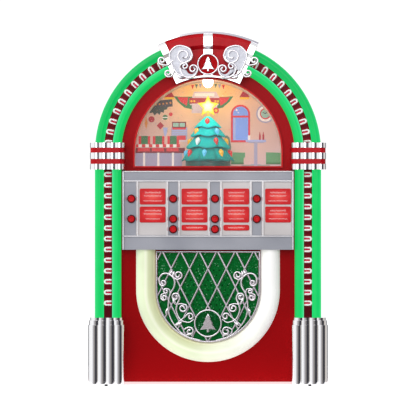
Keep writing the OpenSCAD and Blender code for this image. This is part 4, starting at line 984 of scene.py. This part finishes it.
def print_machine(room):
    """Drinks machine and a tall glass behind the counter."""
    room.box("lilac", -38.2, -21.6, 16.2, 29)
    for k in range(4):
        room.box("blue_pale", -37.6, -22, 21.4 + 1.9 * k, 22.3 + 1.9 * k)
    room.boxes(("dark_red", -37.4, -22.8, 28.4, 34.6), ("teal", -36.4, -30.6, 29.4, 33.4),
            ("teal", -29.6, -24, 29.4, 33.4), ("red", -37.2, -23, 26.6, 28.4),
            ("red", -32, -23.2, 15.4, 20.2))
    room.shape("blue_pale", [(-46.8, 28.6), (-42, 28.6), (-43, 22.8), (-43.8, 19.6), (-45.2, 19.6),
            (-46, 22.8)])


def print_sign(room):
    """Blank notice board with dots over a garland and hanging ornaments."""
    room.shape("dark", [(-62, 55.6), (-37.2, 58.2), (-36.8, 50.6), (-60.6, 47.8)])
    for k in range(6):
        room.shape("orange", circle(-58 + 3.8 * k, 52 + 0.45 * k, 1.0, 10))
    room.shape("garland", [(-62.4, 49.8), (-52, 50.2), (-41.8, 50), (-43, 47.4), (-45.6, 47), (-46, 44),
            (-49, 45), (-50.4, 41.8), (-53, 44), (-55.6, 41), (-57.4, 44.2), (-60.6, 43.6)])
    room.shape("red_deep", circle(-58.8, 37.2, 3.2, 20))
    room.shape("green", circle(-44.6, 39.2, 2.7, 20))
    room.box("white", -47.2, -42, 38.6, 39.6)
    room.shape("red", circle(-38.8, 42.4, 2.0, 16))
    room.shape("red_deep", [(-49.6, 34.6), (-45.8, 30.6), (-49.6, 26.4), (-53.4, 30.6)])
    room.shape("orange", [(-64.4, 39.4), (-62.8, 33.2), (-64.4, 26.6), (-66, 33.2)])


def print_wings(room):
    """Big winged wall sign behind the star, with blank bands and yellow lamps."""
    for side in (-1, 1):
        wing = [(side * 6, 61), (side * 22, 60.6), (side * 31, 61.2), (side * 27, 55.4), (side * 20, 49.4),
                (side * 8, 46.6)]
        inner = [(side * 16, 60), (side * 27.4, 60.2), (side * 24, 55.4), (side * 17.6, 51.2)]
        for ink, outline in (("green", wing), ("red", inner)):
            room.shape(ink, [(x - 4.6, z) for x, z in outline])
    room.shape("lilac_pale", [(-16.6, 60), (-14.6, 66), (8.4, 66), (11.8, 60.4), (8, 43.6), (-17, 43.6)])
    room.box("red_deep", -19.6, 11.8, 53.6, 59.4)
    for x in (-17.2, -14.2, 7.8, 10.4):
        room.shape("yellow", circle(x, 56, 1.1, 14))
    room.boxes(("lilac_pale", -18.6, 11, 52, 53.2), ("white", -14, 6.4, 61.2, 64.4))
    room.shape("red", circle(8.4, 46.4, 3.0, 18))
    room.shape("yellow", circle(8.4, 46.4, 1.6, 14))


def print_window(room):
    """Arched night-blue window in a red frame, with two bright dots in its top light."""
    def arched(x0, x1, z0, z1):
        half = (x1 - x0) / 2
        return [(x0, z0), (x1, z0)] + circle((x0 + x1) / 2, z1 - half, half, 24, 0, 180)
    room.shape("red", arched(23.8, 43.8, 13.2, 52.4))
    room.shape("blue", arched(26, 41.8, 15.4, 50.4))
    room.boxes(("red", 24.4, 43.2, 39, 41), ("blue_pale", 26.6, 28.6, 16, 38.4))
    room.shape("white", circle(29.8, 46.8, 1.1, 12))
    room.shape("white", circle(31.6, 44.2, 0.7, 10))


def print_clock(room):
    """Round wall clock with plain hands."""
    for ink, r in (("lilac", 9.6), ("white", 8.2), ("red", 5.8), ("teal", 4.6)):
        room.shape(ink, circle(59.8, 43, r, 32))
    room.shape("dark", [(59.4, 43.2), (62.6, 46.2), (63, 45.6), (60.2, 42.6)])
    room.shape("dark", [(59.8, 43.4), (56.8, 45), (56.6, 44.4), (59.4, 42.6)])


def print_table(room):
    """Round table with bottles, between two green benches."""
    room.boxes(("blue_pale", 39.2, 60.4, 13.6, 15.8), ("lilac", 42, 58, 12.6, 13.8),
            ("lilac", 48, 51.4, -10.2, 12.8), ("lilac", 44.4, 55, -11.4, -9.6))
    for x in (54, 57.6):
        room.boxes(("red_deep", x - 0.9, x + 0.9, 15.8, 21.4), ("red_deep", x - 0.4, x + 0.4, 21.4, 24))
    room.boxes(("white", 41.6, 44, 15.8, 20.4), ("red", 42.2, 43.4, 20.4, 22.4))
    for x0, x1, lean in ((24, 38.6, 1), (60.4, 76, -1)):
        room.shape("green_soft", [(x0, -9), (x1 - 1.6 * (lean > 0), -9), (x1 - 1.4 * (lean > 0), -3),
                (x1, -2.4), (x1, 2.4), (x0, 2.8)])
        room.box("green", x0, x1 - 1.4 * (lean > 0), -9.6, -7.8)
    room.shape("green_grey", [(17.4, 19.6), (20, 20.4), (22.4, 18.2), (24, 9), (23.8, -4), (19, -4)])
    room.boxes(("grey", 34.8, 48, -11.8, -10.2), ("grey", 51.6, 64.4, -11.8, -10.2))


def print_details(room):
    """Pendant lamps, pennants, floor line and a scatter of confetti."""
    for x in (-40.2, 38):
        room.box("dark_red", x - 0.3, x + 0.3, 66, 72)
        room.shape("red_deep", [(x - 1.4, 66.6), (x + 1.4, 66.6), (x + 5.4, 60.2), (x - 5.4, 60.2)])
        room.box("yellow", x - 4.8, x + 4.8, 58, 60.2)
    for k, ink in enumerate("red green_grey lilac red yellow red green_grey lilac red".split()):
        x = -16 + 4 * k
        top = math.sqrt((ROOM_R - 2.6) ** 2 - x * x)
        room.shape(ink, [(x - 1.5, top), (x + 1.5, top), (x, top - 4.4)])
    room.box("grey", -76, 76, ROOM_FLOOR - 1.5, ROOM_FLOOR + 1.7)
    dice = random.Random(7)
    inks = ("red", "orange", "lilac", "green_soft", "white")
    for k in range(70):
        x, z = dice.uniform(-62, 62), dice.uniform(24, 66)
        if math.hypot(x, z) < ROOM_R - 6:
            room.shape(inks[k % len(inks)], circle(x, z, dice.uniform(0.25, 0.45), 6))


INK_COLOURS = {
    "red": "#D83038", "red_deep": "#B02834", "dark_red": "#7C1A24", "green": "#3E7A4A",
    "green_soft": "#5E9C6C", "green_grey": "#5C7868", "garland": "#46504A", "lilac": "#A6A2BE", "lilac_pale": "#D8C4CC",
    "blue": "#7EA2F4", "blue_pale": "#A8B4E4", "white": "#F4ECE8", "yellow": "#F6C234", "orange": "#D89048",
    "dark": "#4C4850", "grey": "#A29A98", "teal": "#9CC4B4",
}


def printed_room():
    """The diner picture on the backdrop, built up in flat inks."""
    room = Print()
    for draw in (print_wings, print_sign, print_machine, print_counter, print_window, print_clock,
            print_table, print_details):
        draw(room)
    room.build()


# ---- selector: cards and buttons

CARD_DX = 21.2
CARD_W, CARD_H, PILL_H, CARD_R = 25.8, 15.9, 5.7, 1.6
ROW_STEP = 17.9
KEYS = [f"button_{k}" for k in range(1, 9)] + ["volume_down_button", "volume_up_button"]


def middle(node):
    """Middle of a node, in millimetres."""
    return (low(node) + high(node)) / 2


def card_spots():
    """Centre and height of every title card: two rows of four, then two low ones."""
    top_row = high("title_cards").z - CARD_H / 2
    spots = []
    for k in range(4):
        x = middle(KEYS[k]).x + CARD_DX
        spots += [(x, top_row, CARD_H), (x, top_row - ROW_STEP, CARD_H)]
        if k in (1, 2):
            spots.append((x, low("title_cards").z + PILL_H / 2, PILL_H))
    return spots


def scribble(x, z, width, height, dice):
    """A line of make-believe handwriting: loops of uneven height that spell nothing."""
    strand = []
    steps = int(width / 0.42)
    for k in range(steps + 1):
        rise = math.sin(k * 1.9) * (0.5 + 0.5 * dice.random()) * height / 2
        strand.append((x - width / 2 + width * k / steps + rise * 0.25, z + rise, 1.0))
    return strand


def title_card_pieces():
    """Red printed cards with a paler middle and blank scribbled lines."""
    dice = random.Random(11)
    parts, marks, uvs = [], [], []
    for x, z, height in card_spots():
        points, faces = bar(x, z, CARD_W, height, CARD_R, PANEL_Y, 0.6, 0.15)
        hub, count = len(points), len(points) // 3
        points.append((x, PANEL_Y, z))
        faces[-1:] = [(hub - count + k, hub - count + (k + 1) % count, hub) for k in range(count)]
        parts.append((points, faces))
        uvs += [((px - x) / (CARD_W / 2), (pz - z) / (height / 2)) for px, _, pz in points]
        if height > PILL_H:
            rows = [(3.9, 17 - 3 * dice.random(), 2.3), (0.6, 15 + 4 * dice.random(), 2.1),
                    (-4.3, 14 + 5 * dice.random(), 1.3)]
        else:
            rows = [(0.0, 16.0, 1.7)]
        for rise, width, tall in rows:
            marks.append(scribble(x, z + rise, width, tall, dice))
    mesh = new_mesh("title_cards_printed", *gather(parts), printed_title_card(), smooth=False)
    layer = mesh.uv_layers.new(name="card")
    for loop in mesh.loops:
        layer.data[loop.index].uv = uvs[loop.vertex_index]
    place_mesh("title_cards_printed", tidy_normals(mesh), slot="card_red", stands_for=["title_cards"])
    wires("card_scribbles", marks, PANEL_Y - 0.05, 0.26, white_abs("white_print", "#FBE9E6", 0.5),
            sides=1, slot="card_red")


def panel_pieces():
    """Rails along the selector and beside its plates, partly real rails and partly painted highlights on its edges, in
    near-white silver; and at each button a dark ring of painted shade in the gap and two red marks of painted
    reflection.
    """
    face = low("card_plates").y
    half, foot, top = high("selector_panel").x, low("selector_panel").z, high("selector_panel").z
    plate_low, plate_high = low("card_plates").z, high("card_plates").z
    rails = [(0, z, 2 * half - 0.6, 1.3) for z in (plate_low - 0.95, plate_high + 0.95)]
    rails.append((0, top - 0.6, 2 * half - 0.6, 0.9))
    rails += [(side * (half - 0.95), (foot + top) / 2, 1.3, top - foot - 0.4) for side in (-1, 1)]
    rails += [(middle(key).x + side * 5.95, (plate_low + plate_high) / 2, 1.3, plate_high - plate_low + 1.2)
            for key in KEYS[:4] for side in (-1, 1)][1:]
    # painted highlight: the near-white rails stand in for the bright edges of the panel and its plates
    bars = [bar(*rail, 0.3, face - 0.12, 0.8, 0.25) for rail in rails]
    solid("selector_rails", gather(bars), silver_paint("painted_highlight_silver", "#D8D6D8", "#F2F1F2", 0.3,
            0.22), smooth=False, slot="panel_grey")
    # dark ring round each button: painted shade in the gap
    ring = [(3.35, 0.5), (3.4, 0.05), (3.6, 0.0), (4.0, 0.0), (4.25, 0.15), (4.3, 0.5)]
    parts, cap_reflections = [], []
    for key in KEYS:
        spot = middle(key)
        parts.append(lathe(ring, (spot.x, face - 0.1, spot.z), (0, 1, 0), 32, ring=True))
        # two red marks beside each button: painted reflections of its cap in the rails
        cap_reflections += [bar(spot.x + side * 5.3, spot.z, 0.6, 3.6, 0.25, face - 0.2, 0.3, 0.08) for side in (-1, 1)]
    solid("button_gap_shade_rings", gather(parts), red_lacquer("painted_gap_shade_red", "#42070C", "#5C0C12"),
            slot="panel_grey")
    solid("button_cap_reflections", gather(cap_reflections), red_lacquer("painted_reflection_red", "#A84850", "#C05860"),
            smooth=False, slot="panel_grey")


CAP_PROFILE = [(1.6, 7.6), (1.6, 3.9), (4.2, 3.7), (4.4, 3.5), (4.4, 2.7), (4.2, 2.5), (3.15, 2.5),
        (3.18, 0.9), (3.05, 0.45), (2.7, 0.14), (2.3, 0.04), (2.05, 0.12), (1.8, 0.3), (0.9, 0.16), (0.3, 0.12)]


def button_pieces():
    """Round caps with a rolled edge and a shallow dished top, one on each button's own body."""
    red = red_lacquer("button_red_abs", "#B00C14", "#D41820")
    for key in KEYS:
        cap = lathe(CAP_PROFILE, (middle(key).x, low(key).y, middle(key).z), (0, 1, 0), 40)
        solid(key + "_cap", cap, red, body=key + "_body", slot="button_red", stands_for=[key])


# ---- carried-over parts

def finish_nodes():
    """Gives every carried-over part its real finish."""
    # glow across each tube: the LEDs' own light, with brighter ends as painted edge sheen
    outer_glow = [(0.0, "#2CF08A"), (0.14, "#12D868"), (0.55, "#12D46A"), (0.85, "#1CDC74"), (1.0, "#58F0A0")]
    inner_glow = [(0.0, "#14C85C"), (0.3, "#14D266"), (0.7, "#1CDA72"), (0.9, "#38F094"), (1.0, "#8CFFC4")]
    for nodes, material in (
            ("front_shell", gloss_red_abs()),
            ("rear_shell battery_door", satin_red_abs()),
            ("window_bezel", red_abs_with_painted_stage_light()),
            ("window_lens", clear_polycarbonate()),
            ("stage_shroud", cream_polystyrene()),
            ("backdrop_panel", card_with_painted_lamp_light()),
            ("stage_deck", moulded_plastic("white_polystyrene", "#DEDADC", "#ECE9EA", 0.45, 12)),
            ("turntable", moulded_green_abs()),
            ("turntable_gear", moulded_plastic("white_acetal", "#E2E0D6", "#EEECE4", 0.4)),
            ("drive_pinion", worked_metal("turned_brass", "#C9A24A", 0.25, 0.8)),
            ("gearmotor", worked_metal("plated_steel_can", "#A8AAB0", 0.32, 1.2)),
            ("scene_lamp", lit_plastic("lit_lamp_dome", "#FFFFFF", "#FFF3D8", 6.0, middle("scene_lamp"),
                    7.0)),
            ("outer_tube", lit_green_diffuser("lit_outer_tube", OUTER_R, outer_glow, 0.84, 0.72)),
            ("inner_tube", lit_green_diffuser("lit_inner_tube", INNER_R, inner_glow, 0.84, 1.06)),
            ("bubble_strip", maroon_strip_abs()),
            ("light_boards button_board main_board", solder_mask()),
            ("column_left column_right collar_left collar_right crown_trim", chrome_plate()),
            ("collar_bands crown_body", red_lacquer("band_red_lacquer", "#B00814", "#C4101E")),
            ("selector_panel", silver_paint("silver_grey_paint", "#92959E", "#ABADB5", 0.1, 0.4)),
            ("card_plates", silver_paint("pale_silver_paint", "#C4BFBD", "#DCD7D6", 0.05, 0.42)),
            ("keypad_mat", moulded_plastic("grey_silicone", "#505056", "#5E5E64", 0.6)),
            ("u_light_lens", lit_cream_diffuser()),
            ("grille_backing", perforated_glitter_sheet()),
            ("speaker_frame battery_tray switch_body switch_knob power_jack",
             moulded_plastic("black_abs", "#161618", "#222226", 0.42)),
            ("speaker_cone", moulded_plastic("doped_paper_cone", "#141416", "#1E1E20", 0.7)),
            ("battery_contacts", worked_metal("nickel_plated_spring", "#C4C2BC", 0.25, 0.8)),
            ("batteries", worked_metal("foil_wrapped_can", "#B0803C", 0.3, 2.0)),
            ("feet", moulded_plastic("black_rubber", "#101012", "#1A1A1C", 0.75)),
            ("screws", worked_metal("zinc_plated_steel", "#B8BAC0", 0.3, 1.5))):
        for node in nodes.split():
            NODES[node].material_slots[0].material = material


# ---- studio

def studio_world():
    """White tent, with grey flags beside the object that show only in its plating."""
    world = bpy.data.worlds.new("studio")
    bpy.context.scene.world = world
    world.use_nodes = True
    tent = Shades(world.node_tree)
    way = tent.xyz(tent.add("TexCoord").outputs["Generated"])
    bearing = tent.calc("ARCTAN2", way["X"], tent.calc("MULTIPLY", way["Y"], -1.0))
    share = tent.span(bearing, -math.pi, math.pi)
    white, low_grey, high_grey = "#FFFFFF", "#46464C", "#5A5A62"
    low_front = [(-36, white), (-18, "#C8C6CA"), (-4, "#A09C9C"), (12, "#8A8683"), (22, "#3C3C42"),
            (56, "#38383E"), (66, "#C8C0B8"), (100, "#E8E4E0")]
    high_front = [(-30, white), (-8, "#E4E2EA"), (20, "#C4C2CC"), (34, "#8A8892"), (52, "#78767E"),
            (64, "#D8D6DC"), (112, "#F4F4F4")]
    low_bands, high_bands = (
            [(-180, white), (-165, white), (-152, grey), (-126, grey), (-112, white), *front, (124, grey),
            (150, grey), (164, white)] for grey, front in ((low_grey, low_front), (high_grey, high_front)))
    sides = [tent.ramp(share, *[((turn + 180) / 360, shade) for turn, shade in bands])
            for bands in (low_bands, high_bands)]
    flags = tent.mix(tent.span(way["Z"], 0.0, 0.12), *sides)
    seen = tent.add("LightPath").outputs["Is Camera Ray"]
    background = tent.tree.nodes["Background"]
    tent.tree.links.new(tent.mix(seen, flags, linear("#FFFFFF")), background.inputs["Color"])
    background.inputs["Strength"].default_value = 1.1


def studio_floor():
    """Pale seamless floor."""
    reach = 150
    f = Finish("pale_studio_floor", "#F6F6F6", 0.9, Emission_Strength=0.75, Emission_Color=linear("#FFFFFF"))
    f.paint(f.ramp(f.grain(400), (0.3, "#F4F4F4"), (0.7, "#F8F8F8")))
    corners = [(-reach, -reach / 2, 0), (reach, -reach / 2, 0), (reach, reach, 0), (-reach, reach, 0)]
    floor = bpy.data.objects.new("floor", new_mesh("floor", corners, [(0, 1, 2, 3)], f.material,
            smooth=False))
    bpy.context.scene.collection.objects.link(floor)


def light(name, kind, place, power, **settings):
    """A light at a place in metres."""
    data = bpy.data.lights.new(name, kind)
    data.energy = power
    for key, value in settings.items():
        setattr(data, key, value)
    lamp = bpy.data.objects.new(name, data)
    bpy.context.scene.collection.objects.link(lamp)
    lamp.location = place
    return lamp


def area_light(name, place, target, size, power):
    """A soft square light that looks at a point."""
    lamp = light(name, "AREA", place, power, shape="SQUARE", size=size)
    lamp.rotation_euler = (Vector(target) - Vector(place)).to_track_quat("-Z", "Y").to_euler()


def stage_light():
    """Warm glow of the lamp in the ceiling of the stage."""
    place = (0, middle("scene_lamp").y * MM, (low("scene_lamp").z - 8) * MM)
    light("stage_glow", "POINT", place, 0.03, color=linear("#FFE2B0")[:3], shadow_soft_size=6 * MM)


CAMERA_REACH = 1.6
CAMERA_Z = 0.1768
VIEW_WIDTH = 0.416


def studio_camera():
    """Camera straight ahead of the face, level, at the height of the middle of the picture."""
    data = bpy.data.cameras.new("camera")
    data.sensor_width = 36
    data.lens = 36 * CAMERA_REACH / VIEW_WIDTH
    camera = bpy.data.objects.new("camera", data)
    bpy.context.scene.collection.objects.link(camera)
    camera.location = (0, FACE_Y * MM - CAMERA_REACH, CAMERA_Z)
    camera.rotation_euler = (math.pi / 2, 0, 0)
    bpy.context.scene.camera = camera


# ---- assembly

studio_camera()
studio_world()
studio_floor()
area_light("key", (-1.2, -1.6, 1.9), (0, 0, 0.2), 1.2, 11)
area_light("front_fill", (0.3, -2.2, 0.9), (0, 0, 0.15), 1.4, 12)
stage_light()

finish_nodes()
SILVER = silver_with_painted_shade("crown_silver", "#F0EEF2", "#7C787E", 0.18)
GREY_SILVER = silver_with_painted_shade("grille_silver", "#CFC9CF", "#77727A", 0.24)
BRIGHT_SILVER = silver_with_painted_shade("scroll_wire_silver", "#F0ECF0", "#8A868C", 0.18)
strip_ring_pieces()
crown_pieces(SILVER)
medallion_pieces(SILVER)
grille_pieces(GREY_SILVER, BRIGHT_SILVER)
fir_tree_piece()
star_pieces()
bulb_pieces()
printed_room()
title_card_pieces()
panel_pieces()
button_pieces()

bpy.context.scene.view_settings.view_transform = "Standard"
